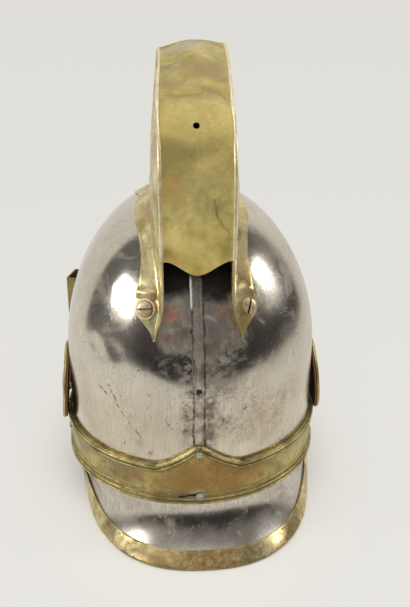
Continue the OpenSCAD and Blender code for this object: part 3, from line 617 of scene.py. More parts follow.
def onBowl(across, height):
    # the rear of the bowl at a distance across and a height, both in millimetres
    x, z = across * mm, height * mm
    drop = max(0, bowl["belly"] - z) / (bowl["belly"] - bowl["foot"])
    tuck = 1 - bowl["tuck"] * drop ** 2
    rise = max(0, z - bowl["belly"]) / bowl["rise"]
    back = bowl["rear"] * tuck * math.sqrt(max(0, 1 - (x / bowl["halfWidth"] / tuck) ** 2 - rise ** 2))
    return (across, (bowl["middle"] - back) / mm, height)


copperRed = (0.46, 0.19, 0.13)
umber = (0.15, 0.11, 0.09)
rustBrown = (0.26, 0.20, 0.155)
soot = (0.05, 0.04, 0.035)
verdigris = (0.40, 0.50, 0.37)

bowlSteel = steelFinish("bowlSteel", {
    "clouds": (24, (0.60, 0.555, 0.47), (0.80, 0.75, 0.64)), "grainShare": 0.34,
    "tarnish": (42, 0.38, (0.33, 0.26, 0.18)), "wornRight": 0.10, "pits": (520, (0.08, 0.06, 0.05)),
    "rough": (0.11, 0.22),
    "stains": [
        (onBowl(14, 128), 3, 17, umber, 0.8), (onBowl(8, 104), 3, 18, umber, 0.75),
        (onBowl(6, 88), 1, 10, soot, 0.8), (onBowl(-6, 106), 1, 10, umber, 0.8),
        (onBowl(-5, 124), 1, 8, umber, 0.8), (onBowl(22, 96), 1, 12, rustBrown, 0.7),
        (onBowl(-14, 72), 1, 9, rustBrown, 0.6), (onBowl(45, 98), 6, 30, rustBrown, 0.6),
        (onBowl(30, 120), 4, 22, rustBrown, 0.45), (onBowl(62, 105), 4, 20, rustBrown, 0.4),
        (onBowl(-39, 82), 1, 6, umber, 0.6), (onBowl(-9, 95), 1, 4, soot, 0.8),
        (onBowl(18, 102), 1, 5, umber, 0.8), (onBowl(-31, 120), 0, 3, umber, 0.8),
        (onBowl(-33, 76), 0.5, 3.5, soot, 0.9), (onBowl(26, 84), 1, 6, umber, 0.6),
        (onBowl(50, 182), 4, 20, rustBrown, 0.35),
    ],
    "copper": [
        (onBowl(-16, 175), 3, 10, copperRed, 0.8), (onBowl(-18, 160), 2, 8, copperRed, 0.45),
        (onBowl(15, 177), 1, 7, copperRed, 0.8), (onBowl(10, 186), 1, 7, soot, 0.8),
        (onBowl(14, 152), 3, 14, umber, 0.85), (onBowl(-11, 158), 2, 11, umber, 0.8),
        (onBowl(4, 140), 2, 9, soot, 0.7), (onBowl(24, 160), 3, 14, umber, 0.6),
        (onBowl(6, 116), 1, 7, soot, 0.7), (onBowl(5, 70), 1, 7, soot, 0.6),
        (onBowl(6, 96), 1, 8, umber, 0.8), (onBowl(0, 126), 2.6, 7, soot, 1),
    ],
    "scratches": [
        [onBowl(-59, 120), onBowl(-55, 112), onBowl(-53, 106), onBowl(-49, 100), onBowl(-45, 95),
         onBowl(-39, 87)],
        [onBowl(-64, 116), onBowl(-61, 113)], [onBowl(30, 108), onBowl(37, 111)],
        [onBowl(-22, 104), onBowl(-19, 97)],
    ],
})
# The inside of the bowl is near black: blackened steel, and painted shade inside the helmet.
innerSteelBlackAndShade = steelFinish("innerSteelBlackAndShade", {
    "clouds": (30, (0.05, 0.045, 0.04), (0.11, 0.095, 0.08)), "grainShare": 0.3,
    "tarnish": (40, 0.6, (0.13, 0.08, 0.05)), "pits": (420, (0.03, 0.02, 0.02)), "rough": (0.5, 0.7),
})
guardSteel = steelFinish("guardSteel", {
    "clouds": (34, (0.50, 0.455, 0.39), (0.82, 0.77, 0.68)), "grainShare": 0.5,
    "tarnish": (75, 0.5, (0.30, 0.235, 0.18)), "pits": (480, (0.09, 0.06, 0.05)), "rough": (0.17, 0.29),
    "wornLow": 0.017,
    "stains": [
        ((62, -95, 26), 2, 14, umber, 0.5), ((80, -62, 36), 1, 9, umber, 0.7),
    ],
})
bandBrass = brassFinish("bandBrass", {
    "clouds": (44, (0.27, 0.21, 0.065), (0.58, 0.475, 0.19)), "tarnish": (70, 0.75, (0.21, 0.115, 0.04)),
    "speck": (0.045, 0.03, 0.018), "rough": (0.28, 0.44), "wave": (50, 0.5), "metallic": 0.82,
    "shadedSlits": [
        ((-13.5, -118.5, 44), (-3, -120.5, 45)),
    ],
    "stains": [
        ((-47, -105, 57), 3, 17, (0.17, 0.09, 0.035), 0.8), ((-60, -96, 55), 2, 12, umber, 0.5),
        ((8, -119, 56), 14, 38, (0.25, 0.135, 0.03), 0.95),
        ((34, -112, 58), 6, 24, (0.27, 0.145, 0.04), 0.75),
        ((-20, -117, 54), 4, 24, (0.25, 0.15, 0.04), 0.75), ((-2, -120, 45), 2, 7, verdigris, 0.7),
        ((-14, -118, 44), 1, 9, umber, 0.7), ((84, -30, 64), 3, 12, verdigris, 0.7),
        ((80, -60, 60), 3, 14, (0.20, 0.24, 0.13), 0.6),
    ],
})
mouldingBrass = brassFinish("mouldingBrass", {
    "clouds": (60, (0.28, 0.225, 0.08), (0.64, 0.545, 0.25)), "tarnish": (80, 0.75, (0.17, 0.105, 0.04)),
    "speck": (0.045, 0.03, 0.018), "rough": (0.26, 0.4), "wave": (90, 0.3),
    "shadedSlits": [
        ((-13.5, -118.5, 44), (-3, -120.5, 45)),
    ],
    "stains": [
        ((-14, -118, 44), 2, 10, soot, 0.8), ((84, -30, 64), 3, 12, verdigris, 0.7),
        ((0, -120, 44), 2, 6, verdigris, 0.6),
    ],
})
edgingBrass = brassFinish("edgingBrass", {
    "clouds": (40, (0.44, 0.33, 0.12), (0.88, 0.75, 0.40)), "tarnish": (60, 0.7, (0.24, 0.14, 0.05)),
    "speck": (0.035, 0.025, 0.015), "rough": (0.19, 0.32), "wave": (60, 0.4),
    "stains": [
        ((-50, -125, 3), 3, 17, (0.11, 0.07, 0.035), 0.9), ((-30, -136, 4), 4, 20, (0.26, 0.15, 0.05), 0.8),
        ((5, -140, 4), 14, 42, (0.16, 0.092, 0.022), 1.0), ((40, -133, 4), 4, 20, (0.09, 0.06, 0.028), 0.9),
        ((-78, -90, 12), 2, 12, umber, 0.6), ((-86, -60, 16), 2, 12, (0.30, 0.18, 0.08), 0.7),
        ((70, -108, 6), 2, 10, umber, 0.5),
    ],
})
flankBrass = brassFinish("flankBrass", {
    "clouds": (42, (0.46, 0.36, 0.14), (0.87, 0.76, 0.43)), "tarnish": (50, 0.6, (0.30, 0.19, 0.06)),
    "speck": (0.07, 0.045, 0.02), "rough": (0.22, 0.42), "wave": (45, 0.7), "metallic": 0.82,
    "stains": [
        ((-31, -100, 164), 2, 9, (0.30, 0.44, 0.27), 0.95),
        ((-27, -100, 172), 1, 6, (0.24, 0.36, 0.24), 0.9), ((-36, -80, 205), 3, 14, (0.28, 0.19, 0.09), 0.7),
        ((31, -102, 166), 2, 9, (0.30, 0.19, 0.07), 0.8), ((-30, -50, 226), 3, 14, (0.34, 0.22, 0.14), 0.7),
        ((32, -85, 200), 2, 12, (0.30, 0.20, 0.08), 0.6),
    ],
})
crestBrass = brassFinish("crestBrass", {
    "clouds": (38, (0.38, 0.295, 0.07), (0.73, 0.605, 0.225)), "tarnish": (46, 0.65, (0.37, 0.225, 0.055)),
    "speck": (0.07, 0.045, 0.02), "rough": (0.27, 0.48), "wave": (34, 0.9), "metallic": 0.68,
    "shadedSlits": [
        ((10.2, -111.5, 253.5), (11.4, -111, 244)), ((11.4, -111, 244), (18.6, -110, 233)),
    ],
    "shadedSlitLook": (0.0004, 0.3, 0.0042),
    "stains": [
        ((0, -75, 305), 30, 62, (0.34, 0.265, 0.085), 0.6),
        ((0, -105, 275), 20, 34, (0.34, 0.265, 0.085), 0.5),
        ((0, -112, 208), 12, 34, (0.48, 0.36, 0.085), 0.6),
        # Painted light: the pale gold pool lightens the middle of the rear panel, and the pale grey at the
        # top is a painted reflection of a pale wall.
        ((0, -112, 246), 16, 44, (0.78, 0.66, 0.27), 0.5), ((0, 4, 322), 4, 22, (0.55, 0.50, 0.45), 0.6),
        ((-13.6, -26, 319), 1, 6, (0.13, 0.09, 0.05), 0.8),
        ((-10.2, -23, 320), 1, 5, (0.13, 0.09, 0.05), 0.8), ((14, -40, 318), 6, 24, (0.34, 0.24, 0.12), 0.6),
        ((6, -111, 236), 3, 17, (0.68, 0.56, 0.17), 0.5), ((4, -113, 217), 2, 13, (0.68, 0.56, 0.17), 0.4),
        ((12, -111.5, 250), 1, 6, (0.26, 0.18, 0.07), 0.5),
        ((-12, -108, 286), 4, 20, (0.34, 0.26, 0.10), 0.6),
        ((-18, -110, 262), 4, 16, (0.50, 0.29, 0.09), 0.6),
        ((-20, -110, 208), 3, 15, (0.52, 0.27, 0.09), 0.8),
        ((18, -110, 206), 2, 12, (0.54, 0.27, 0.09), 0.8), ((0, -113, 202), 2, 12, (0.40, 0.25, 0.08), 0.6),
        ((-2, -85, 306), 5, 20, (0.35, 0.31, 0.11), 0.6), ((-16, -60, 313), 3, 14, (0.36, 0.24, 0.10), 0.5),
    ],
})
# The rolled edges are paler than the panel: worn brass, and a painted highlight along the edges.
rolledBrassWearAndHighlight = brassFinish("rolledBrassWearAndHighlight", {
    "clouds": (60, (0.80, 0.67, 0.38), (0.97, 0.88, 0.62)), "tarnish": (80, 0.3, (0.42, 0.28, 0.12)),
    "speck": (0.10, 0.06, 0.03), "rough": (0.26, 0.38), "wave": (90, 0.1), "metallic": 0.72,
    "oliveShare": 0.05,
})
sheathBrass = brassFinish("sheathBrass", {
    "clouds": (40, (0.24, 0.19, 0.075), (0.42, 0.34, 0.14)), "tarnish": (60, 0.6, (0.12, 0.075, 0.035)),
    "speck": (0.05, 0.03, 0.02), "rough": (0.35, 0.5), "wave": (50, 0.25),
})
fastenerBrass = brassFinish("fastenerBrass", {
    "clouds": (120, (0.60, 0.45, 0.27), (0.84, 0.68, 0.44)), "tarnish": (160, 0.35, (0.38, 0.23, 0.12)),
    "speck": (0.10, 0.06, 0.04), "rough": (0.3, 0.42), "wave": (150, 0.2), "metallic": 0.75,
    "oliveShare": 0.1,
})
washerBrass = brassFinish("washerBrass", {
    "clouds": (120, (0.68, 0.53, 0.33), (0.90, 0.75, 0.52)), "tarnish": (160, 0.3, (0.42, 0.27, 0.15)),
    "speck": (0.10, 0.06, 0.04), "rough": (0.3, 0.42), "wave": (150, 0.2), "metallic": 0.6,
    "oliveShare": 0.05,
})
bossBrass = brassFinish("bossBrass", {
    "clouds": (45, (0.42, 0.33, 0.12), (0.66, 0.54, 0.24)), "tarnish": (60, 0.5, (0.24, 0.15, 0.06)),
    "speck": (0.10, 0.06, 0.03), "rough": (0.3, 0.45), "wave": (60, 0.3),
})
rivetMetal = brassFinish("rivetMetal", {
    "clouds": (260, (0.20, 0.20, 0.165), (0.44, 0.44, 0.38)), "tarnish": (300, 0.6, (0.30, 0.40, 0.33)),
    "speck": (0.08, 0.07, 0.05), "rough": (0.4, 0.6), "wave": (200, 0.2), "metallic": 0.5, "oliveShare": 0.1,
})
darkSteel = steelFinish("darkSteel", {
    "clouds": (90, (0.10, 0.09, 0.085), (0.22, 0.20, 0.19)), "grainShare": 0.3,
    "tarnish": (120, 0.5, (0.12, 0.07, 0.04)), "pits": (600, (0.05, 0.03, 0.02)), "rough": (0.35, 0.5),
})
bossLeather = leatherFinish("bossLeather", 60, (0.10, 0.045, 0.022), (0.24, 0.12, 0.06))
linerLeather = leatherFinish("linerLeather", 25, (0.12, 0.06, 0.03), (0.26, 0.15, 0.08))
thread = leatherFinish("thread", 300, (0.30, 0.24, 0.15), (0.50, 0.42, 0.30))
print("materials ready")


# Skull bowl: half a ball laid on its side, so that its rings run along the ridge

deselectAll()
bpy.ops.mesh.primitive_uv_sphere_add(segments=160, ring_count=112, radius=1, rotation=(0, math.pi / 2, 0))
skull = bpy.context.object
skull.name = "skullBowl"
settle(skull)
openEdit(skull)
pick(skull, lambda co: co.z < -1e-4)
bpy.ops.mesh.delete(type="VERT")
pickAll()
widen((bowl["halfWidth"], bowl["rear"], bowl["rise"]))
pick(skull, lambda co: co.y > 1e-6)
widen((1, bowl["front"] / bowl["rear"], 1))
pick(skull, lambda co: co.z < 1e-5)
depth = bowl["belly"] - bowl["lip"]
fullDepth = bowl["belly"] - bowl["foot"]
rows = bowl["rows"]
for row in range(rows):
    before = 1 - bowl["tuck"] * (depth * row / rows / fullDepth) ** 2
    after = 1 - bowl["tuck"] * (depth * (row + 1) / rows / fullDepth) ** 2
    extrude((0, 0, -depth / rows))
    widen((after / before, after / before, 1))
pickAll()
bpy.ops.transform.translate(value=(0, bowl["middle"], bowl["belly"]))
for halfWidth, lift in bowl["ridge"]:
    for side in (-1, 1):
        pickAll()
        bpy.ops.mesh.bisect(plane_co=(side * halfWidth, 0, 0), plane_no=(1, 0, 0))
pickAll()
bpy.ops.mesh.remove_doubles(threshold=1e-5)
bpy.ops.mesh.normals_make_consistent(inside=False)
for halfWidth, lift in bowl["ridge"]:
    if lift:
        pick(skull, lambda co: abs(co.x) < halfWidth + 1e-5 and co.z > bowl["ridgeFoot"])
        bpy.ops.transform.shrink_fatten(value=lift)
closeEdit()
thicken(skull, bowl["sheet"], -1)
applyAll(skull)

deselectAll()
bpy.ops.mesh.primitive_cylinder_add(vertices=40, radius=bowl["hole"], depth=bowl["holeDeep"],
                                    location=bowl["holeAt"], rotation=(math.radians(90), 0, 0))
cutAway(skull, bpy.context.object)
smooth(skull, 28)
giveMaterials(skull, bowlSteel, innerSteelBlackAndShade)
for face in skull.data.polygons:
    outward = face.center - Vector((0, bowl["middle"], min(face.center.z, bowl["belly"])))
    face.material_index = 1 if face.normal.dot(outward) < 0 else 0
declare(skull, "helmet", "skull_bowl")


# Sheet pieces are finished from a merged copy of their CAD solid, made even, rounded and smoothed

def finishedSheet(node, name, material, levels=2, crease=38, shadeAngle=50, share=0.75):
    piece = mergedCopy(node, name, 25, 60)
    bpy.ops.mesh.select_all(action="DESELECT")
    bpy.ops.mesh.select_mode(type="EDGE")
    bpy.ops.mesh.edges_select_sharp(sharpness=math.radians(crease))
    bpy.ops.transform.edge_crease(value=share)
    closeEdit()
    subdivide(piece, levels)
    applyAll(piece)
    smooth(piece, shadeAngle)
    giveMaterials(piece, material)
    declare(piece, "helmet", node)
    return piece


sheets = {}
for node, name in (("headband_rear", "headbandRear"), ("headband_front", "headbandFront")):
    sheets[name] = finishedSheet(node, name, bandBrass, 1, 16, 24, 1)
for node, name, material, slotName in (
    ("neck_guard", "neckGuard", guardSteel, "guard_steel"),
    ("visor", "visorSheet", guardSteel, "guard_steel"),
    ("neck_guard_rim", "neckGuardEdging", edgingBrass, "edging_brass"),
    ("visor_rim", "visorEdging", edgingBrass, "edging_brass"),
    ("crest_flank_left", "crestFlankLeft", flankBrass, "crest_brass"),
    ("crest_flank_right", "crestFlankRight", flankBrass, "crest_brass"),
    ("crest_gutter", "crestGutter", crestBrass, "crest_brass"),
    ("crest_front_plate", "crestFrontPlate", crestBrass, "crest_brass"),
):
    sheets[name] = finishedSheet(node, name, material)


# The crest leans a little to the wearer's right at its top, as it does on the old helmet

lean = {
    "most": 0.0046, "from": -0.095, "peak": 0.006, "to": 0.045, "low": 0.215, "high": 0.305,
    "sag": 0.0060, "sagRight": 0.4, "sagLow": 0.27, "sagHigh": 0.31,  # the top corners, the right less
}


def eased(value, start, end):
    share = min(1, max(0, (value - start) / (end - start)))
    return share * share * (3 - 2 * share)


for name in ("crestFlankLeft", "crestFlankRight", "crestGutter", "crestFrontPlate"):
    for v in sheets[name].data.vertices:
        rearward = eased(v.co.y, lean["from"], lean["peak"]) * (1 - eased(v.co.y, lean["peak"], lean["to"]))
        v.co.x += lean["most"] * rearward * eased(v.co.z, lean["low"], lean["high"])
        corner = eased(-v.co.x, -0.004, 0.024) + lean["sagRight"] * eased(v.co.x, 0.010, 0.028)
        v.co.z -= lean["sag"] * rearward * corner * eased(v.co.z, lean["sagLow"], lean["sagHigh"])

# The crest's rear feet run out to points, drawn along the bowl
footTips = {"from": 0.177, "to": 0.158, "behind": -0.085, "narrow": 0.72,
            "crestFlankLeft": -0.0272, "crestFlankRight": 0.0282}
for name in ("crestFlankLeft", "crestFlankRight"):
    for v in sheets[name].data.vertices:
        if v.co.z < footTips["from"] and v.co.y < footTips["behind"]:
            below = footTips["from"] - v.co.z
            drawn = footTips["narrow"] * eased(below, 0, footTips["from"] - footTips["to"])
            before = onBowl(v.co.x / mm, v.co.z / mm)[1]
            v.co.x += (footTips[name] - v.co.x) * drawn
            v.co.y += (onBowl(v.co.x / mm, v.co.z / mm)[1] - before) * mm

# The neck guard is pushed a little to the wearer's right
guardPush = {"aside": 0.0034, "narrow": 0.016, "top": 0.040, "foot": 0.006}
for name in ("neckGuard", "neckGuardEdging"):
    for v in sheets[name].data.vertices:
        pushed = eased(guardPush["top"] - v.co.z, 0, guardPush["top"] - guardPush["foot"])
        v.co.x += (guardPush["aside"] - guardPush["narrow"] * v.co.x) * pushed


# Dents and creases beaten into the sheets

dentReach = 2.6  # in widths, past which a dent has died away


def dent(piece, centre, start, end, width, depth):
    # moves what lies near the line away from the centre, or towards it where depth is negative; sizes in mm
    start, end, width, depth = inMetres(start), inMetres(end), width * mm, depth * mm
    away = (start + end) / 2 - Vector(centre)
    away.normalize()
    run = end - start
    for v in piece.data.vertices:
        share = min(1, max(0, (v.co - start).dot(run) / max(run.length_squared, 1e-12)))
        distance = (v.co - start - run * share).length
        if distance < dentReach * width:
            v.co += away * depth * math.exp(-(distance / width) ** 2)


crestHeart = (0, -0.010, 0.225)
gutterWear = [  # start, end, width and depth in mm
    ((-10, -74, 310), (3, -73, 310), 3.2, -2.4), ((-18, -82, 307), (14, -80, 308), 6, 1),
    ((8, -52, 314), (27, -76, 308), 3, 1.4), ((10, -62, 312), (26, -86, 305), 4, -1.4),
    ((-14, -22, 320), (-12, -20, 320), 6, -2), ((2, -14, 321), (12, -30, 319), 6, 1.4),
    ((-22, -4, 321), (-12, 4, 322), 7, -0.6), ((-20, -45, 316), (0, -40, 317), 5, 1),
    ((2, -112, 256), (9, -111, 243), 2.2, 1), ((9, -111, 243), (17, -111, 232), 2.2, 0.9),
    ((6, -112, 254), (13, -111, 240), 3, -1), ((-18, -104, 292), (-4, -107, 286), 5, 1.4),
    ((-14, -108, 278), (10, -108, 282), 6, -1.2), ((8, -110, 270), (20, -109, 262), 6, 1.1),
    ((-18, -110, 262), (-8, -111, 256), 7, -1.1), ((-14, -111, 240), (-2, -112, 230), 6, 1),
    ((-20, -110, 222), (-10, -111, 212), 6, -0.9), ((12, -111, 218), (20, -110, 208), 6, 0.8),
]
leftFlankWear = [
    ((-38.5, -90, 186), (-28.5, -96, 186), 2.2, 1.2),
    ((-37.5, -93.5, 182.5), (-27.5, -98.5, 182.5), 2.2, -1), ((-34, -69, 213), (-32, -80, 203), 4, -1),
    ((-31, -56, 222), (-29, -64, 218), 5, 0.8),
]
rightFlankWear = [
    ((30, -94, 187), (34, -93, 186), 3, 1.2), ((27, -93, 190), (28, -90, 194), 4, -1),
]
bowlWear = [
    (onBowl(-67, 146), onBowl(-64, 140), 5.5, -0.6), (onBowl(-62, 133), onBowl(-56, 134), 4, 0.3),
    (onBowl(-50, 184), onBowl(-50, 182), 2.8, -0.6), (onBowl(-57, 150), onBowl(-52, 146), 5, -0.5),
    (onBowl(60, 150), onBowl(66, 130), 10, -0.6), (onBowl(40, 120), onBowl(48, 100), 10, -0.5),
]
for piece, centre, wear in (
    (sheets["crestGutter"], crestHeart, gutterWear), (sheets["crestFlankLeft"], bowlHeart, leftFlankWear),
    (sheets["crestFlankRight"], bowlHeart, rightFlankWear), (skull, bowlHeart, bowlWear),
):
    for start, end, width, depth in wear:
        dent(piece, centre, start, end, width, depth)
for piece in (*sheets.values(), skull):
    piece.data.update()
print("sheets dented")


# Raised lines on the headbands, and rolled edges on the crest gutter

trims = {
    "topLines": [(0.0005, 0.0011), (0.0034, 0.0007)],  # distance from the edge, radius
    "footLines": [(0.0010, 0.0009), (0.0040, 0.0008), (0.0072, 0.0006)],
    "sunk": 0.35, "turnedIn": 0.0020, "turnedDown": 0.0002, "rollRadius": 0.0012, "rollIn": 0.0009,
    "rollOut": 0.2, "rollEvening": 8,
    "rollFrom": 191, "rollTo": 40, "tongueFrom": 175,  # degrees about the crest's heart
    "tongueNarrow": 0.9, "gutterHalf": 0.026, "gutterMost": 0.045,
    "bandLevel": 0.012,  # a height above its foot that the band has all round
    "bandRay": (0.15, 0.1), "crestRay": (0.16, 0.12),  # how far out a ray starts, how far it looks
}


def tube(points, radius, material):
    # a round wire laid through points, made a mesh
    route = bpy.data.curves.new("wire", "CURVE")
    route.dimensions = "3D"
    route.bevel_depth = radius
    route.bevel_resolution = 2
    route.use_fill_caps = True
    spline = route.splines.new("POLY")
    spline.points.add(len(points) - 1)
    for place, point in zip(points, spline.points):
        point.co = (*place, 1)
    wire = bpy.data.objects.new("wire", route)
    scene.collection.objects.link(wire)
    makeActive(wire)
    bpy.ops.object.convert(target="MESH")
    wire = bpy.context.object
    smooth(wire, 60)
    giveMaterials(wire, material)
    return wire


def joined(piece, extras):
    makeActive(piece)
    for extra in extras:
        extra.select_set(True)
    bpy.ops.object.join()


def lastHit(aim, near, far):
    # how far from near towards far the aim still finds the piece
    for turn in range(14):
        middle = (near + far) / 2
        if aim(middle):
            near = middle
        else:
            far = middle
    return near


def rayHit(piece, heart, away, start, reach):
    # where a ray towards the heart meets the piece, and the way that the surface looks there
    hit, at, normal, face = piece.ray_cast(heart + away * start, -away, distance=reach)
    return (at, normal) if hit else None


def bandLines(piece, node):
    low, high = corners(node)
    inside = low.z + trims["bandLevel"]
    bpy.context.view_layer.update()

    def look(around, height):
        away = Vector((math.sin(around), -math.cos(around), 0))
        return rayHit(piece, Vector((0, bowl["middle"], height)), away, *trims["bandRay"])

    angles = [math.radians(step) for step in range(-180, 360)]
    found = [a for a in angles if look(a, inside)]
    runs = [[found[0]]]
    for a in found[1:]:
        if a - runs[-1][-1] > math.radians(1.5):
            runs.append([])
        runs[-1].append(a)
    run = max(runs, key=len)
    lines = []
    for side, limit, offsets in (
        (-1, high.z + 0.002, trims["topLines"]), (1, low.z - 0.002, trims["footLines"])
    ):
        edges = [lastHit(lambda height: look(a, height), inside, limit) for a in run]
        for offset, radius in offsets:
            points = []
            for a, edge in zip(run, edges):
                found = look(a, edge + side * offset)
                if found:
                    points.append(found[0] + found[1] * radius * (1 - 2 * trims["sunk"]))
            lines.append(tube(points, radius, mouldingBrass))
            if (offset, radius) == trims["topLines"][0]:
                inner = []
                for place in points:
                    inward = (Vector((0, bowl["middle"], place.z)) - place).normalized()
                    inner.append(place + inward * trims["turnedIn"] - Vector((0, 0, trims["turnedDown"])))
                lines.append(tube(inner, radius, mouldingBrass))
    joined(piece, lines)
    print(piece.name, "lines from", round(math.degrees(run[0])), "to", round(math.degrees(run[-1])))


for node, name in (("headband_rear", "headbandRear"), ("headband_front", "headbandFront")):
    bandLines(sheets[name], node)
bandWear = [
    ((-36, -108, 39), (-26, -113, 37), 3, 1.1), ((-50, -104, 52), (-44, -108, 48), 6, -0.8),
    ((20, -116, 52), (34, -112, 56), 7, -0.7), ((-20, -115, 56), (-10, -117, 50), 6, 0.6),
]
for start, end, width, depth in bandWear:
    dent(sheets["headbandRear"], (0, bowl["middle"], 0.05), start, end, width, depth)


def gutterEdge(side):
    # the edge is followed round the crest in steps of the angle about its heart
    piece = sheets["crestGutter"]
    heart = Vector(crestHeart)

    def outward(angle):
        return Vector((0, math.cos(angle), math.sin(angle)))

    def look(angle, across):
        away = outward(angle)
        return rayHit(piece, Vector((across, heart.y, heart.z)), away, *trims["crestRay"])

    points = []
    widest = trims["gutterHalf"]
    for step in range(trims["rollFrom"], trims["rollTo"], -1):
        angle = math.radians(step)
        if not look(angle, 0):
            continue
        edge = lastHit(lambda across: look(angle, across), 0, side * trims["gutterMost"])
        if step > trims["tongueFrom"] and abs(edge) < trims["tongueNarrow"] * abs(widest):
            continue  # the tongue's narrow end has no roll
        widest = edge
        at, normal = look(angle, edge - side * trims["rollIn"])
        points.append(at + outward(angle) * trims["rollRadius"] * trims["rollOut"])
    for turn in range(trims["rollEvening"]):
        inner = [(a + b * 2 + c) / 4 for a, b, c in zip(points, points[1:], points[2:])]
        points = [points[0], *inner, points[-1]]
    return points


bpy.context.view_layer.update()
rolls = [tube(gutterEdge(side), trims["rollRadius"], rolledBrassWearAndHighlight) for side in (-1, 1)]
joined(sheets["crestGutter"], rolls)
print("rolled edges laid")


# Rear screws with deep slots, the left one in a thick ring washer

screws = {
    "headRadius": 0.0050, "headHigh": 0.0024, "slotWide": 0.0012, "slotDeep": 0.0014, "shankRadius": 0.0019,
    "crown": 0.0004, "crownIn": 0.45, "slotRim": 0.0001, "shankLong": 0.012,
    "ringOuter": 0.0069, "ringInner": 0.0053, "ringThick": 0.0015,
    "leftLift": 0.0002, "rightLift": -0.0008,  # from the middle of the ring, along its axis
    "leftSlot": (1, 0.05, -0.05), "rightSlot": (0.34, 0.25, 0.9),
}
ringLow, ringHigh = corners("ring_washer_left")
ringMiddle = (ringLow + ringHigh) / 2


def sheetNormal(node):
    # the way that most of a node's faces look, away from the bowl's middle
    heart = Vector(bowlHeart)
    best = max(nodes[node].data.polygons, key=lambda p: p.normal.dot(p.center - heart) + p.area * 1e3)
    return best.normal.copy()


ringAxis = sheetNormal("ring_washer_left")


def facing(axis, upright):
    # a turn whose Z is the axis, and whose X lies along upright as nearly as it can
    across = (upright - axis * upright.dot(axis)).normalized()
    return Matrix((across, axis.cross(across), axis)).transposed().to_4x4()


def screw(name, node, base, axis, upright):
    head = screws["headRadius"]
    deselectAll()
    bpy.ops.mesh.primitive_cylinder_add(vertices=48, radius=head, depth=screws["headHigh"],
                                        location=(0, 0, screws["headHigh"] / 2))
    piece = bpy.context.object
    piece.name = name
    settle(piece)
    openEdit(piece, "FACE")
    pick(piece, lambda co, normal: normal.z > 0.9, True)
    bpy.ops.mesh.inset(thickness=head * screws["crownIn"])
    bpy.ops.transform.translate(value=(0, 0, screws["crown"]))
    pick(piece, lambda co, normal: normal.z < -0.9, True)
    bpy.ops.mesh.inset(thickness=head - screws["shankRadius"])
    extrude((0, 0, -screws["shankLong"]))
    closeEdit()
    softenEdges(piece, 50)
    applyAll(piece)
    deselectAll()
    bpy.ops.mesh.primitive_cube_add(size=1, location=(0, 0, screws["headHigh"] + screws["crown"]))
    cutter = bpy.context.object
    cutter.scale = (head * 3, screws["slotWide"], screws["slotDeep"] * 2)
    cutAway(piece, cutter)
    slotTop = screws["headHigh"] - screws["slotRim"]
    giveMaterials(piece, fastenerBrass, darkSteel)
    for face in piece.data.polygons:
        inSlot = abs(face.center.y) < screws["slotWide"] * 0.51 and 0 < face.center.z < slotTop
        face.material_index = 1 if inSlot else 0
    piece.matrix_world = Matrix.Translation(base) @ facing(axis, upright)
    settle(piece)
    smooth(piece, 35)
    declare(piece, "helmet", node)


mirrored = Vector((-1, 1, 1))
leftBase = ringMiddle + ringAxis * screws["leftLift"]
rightBase = (ringMiddle + ringAxis * screws["rightLift"]) * mirrored
screw("crestScrewLeft", "crest_screw_left", leftBase, ringAxis, Vector(screws["leftSlot"]))
screw("crestScrewRight", "crest_screw_right", rightBase, ringAxis * mirrored, Vector(screws["rightSlot"]))

deselectAll()
bpy.ops.mesh.primitive_cylinder_add(vertices=64, radius=screws["ringOuter"], depth=screws["ringThick"])
ring = bpy.context.object
ring.name = "ringWasherLeft"
openEdit(ring, "FACE")
pick(ring, lambda co, normal: abs(normal.z) > 0.9, True)
bpy.ops.mesh.inset(thickness=screws["ringOuter"] - screws["ringInner"])
bpy.ops.mesh.bridge_edge_loops()
closeEdit()
softenEdges(ring)
applyAll(ring)
ring.matrix_world = Matrix.Translation(ringMiddle) @ facing(ringAxis, Vector((1, 0, 0)))
settle(ring)
smooth(ring, 35)
giveMaterials(ring, washerBrass)
declare(ring, "helmet", "ring_washer_left")


# Leather: discs behind the bosses, sweatband and crown tongues

leathers = {
    "discRadius": 0.0273, "discThick": 0.0014, "shankHole": 0.0031, "wave": 0.0004,
    "discRings": [0.97, 0.9, 0.75, 0.55, 0.35], "edgeWear": 0.6,
    "crispEdge": (0.0012, 0.005),  # cuts this far from the sweatband's edges keep them crisp
    "stitches": 92, "stitch": (0.0030, 0.0005), "stitchBelow": 0.0026,
    "stitchCap": (0.4, 0.5), "stitchProud": 0.4,  # shares of its thickness
    "tongues": 8, "tongueWave": 0.6, "laceHole": 0.002, "laceReach": 0.030, "laceBelow": 0.004,
    "laceCut": 0.05,
}


def finishPiece(piece, material, body, node, angle=40):
    openEdit(piece)
    pickAll()
    bpy.ops.mesh.remove_doubles(threshold=1e-6)
    bpy.ops.mesh.normals_make_consistent(inside=False)
    closeEdit()
    smooth(piece, angle)
    giveMaterials(piece, material)
    declare(piece, body, node)


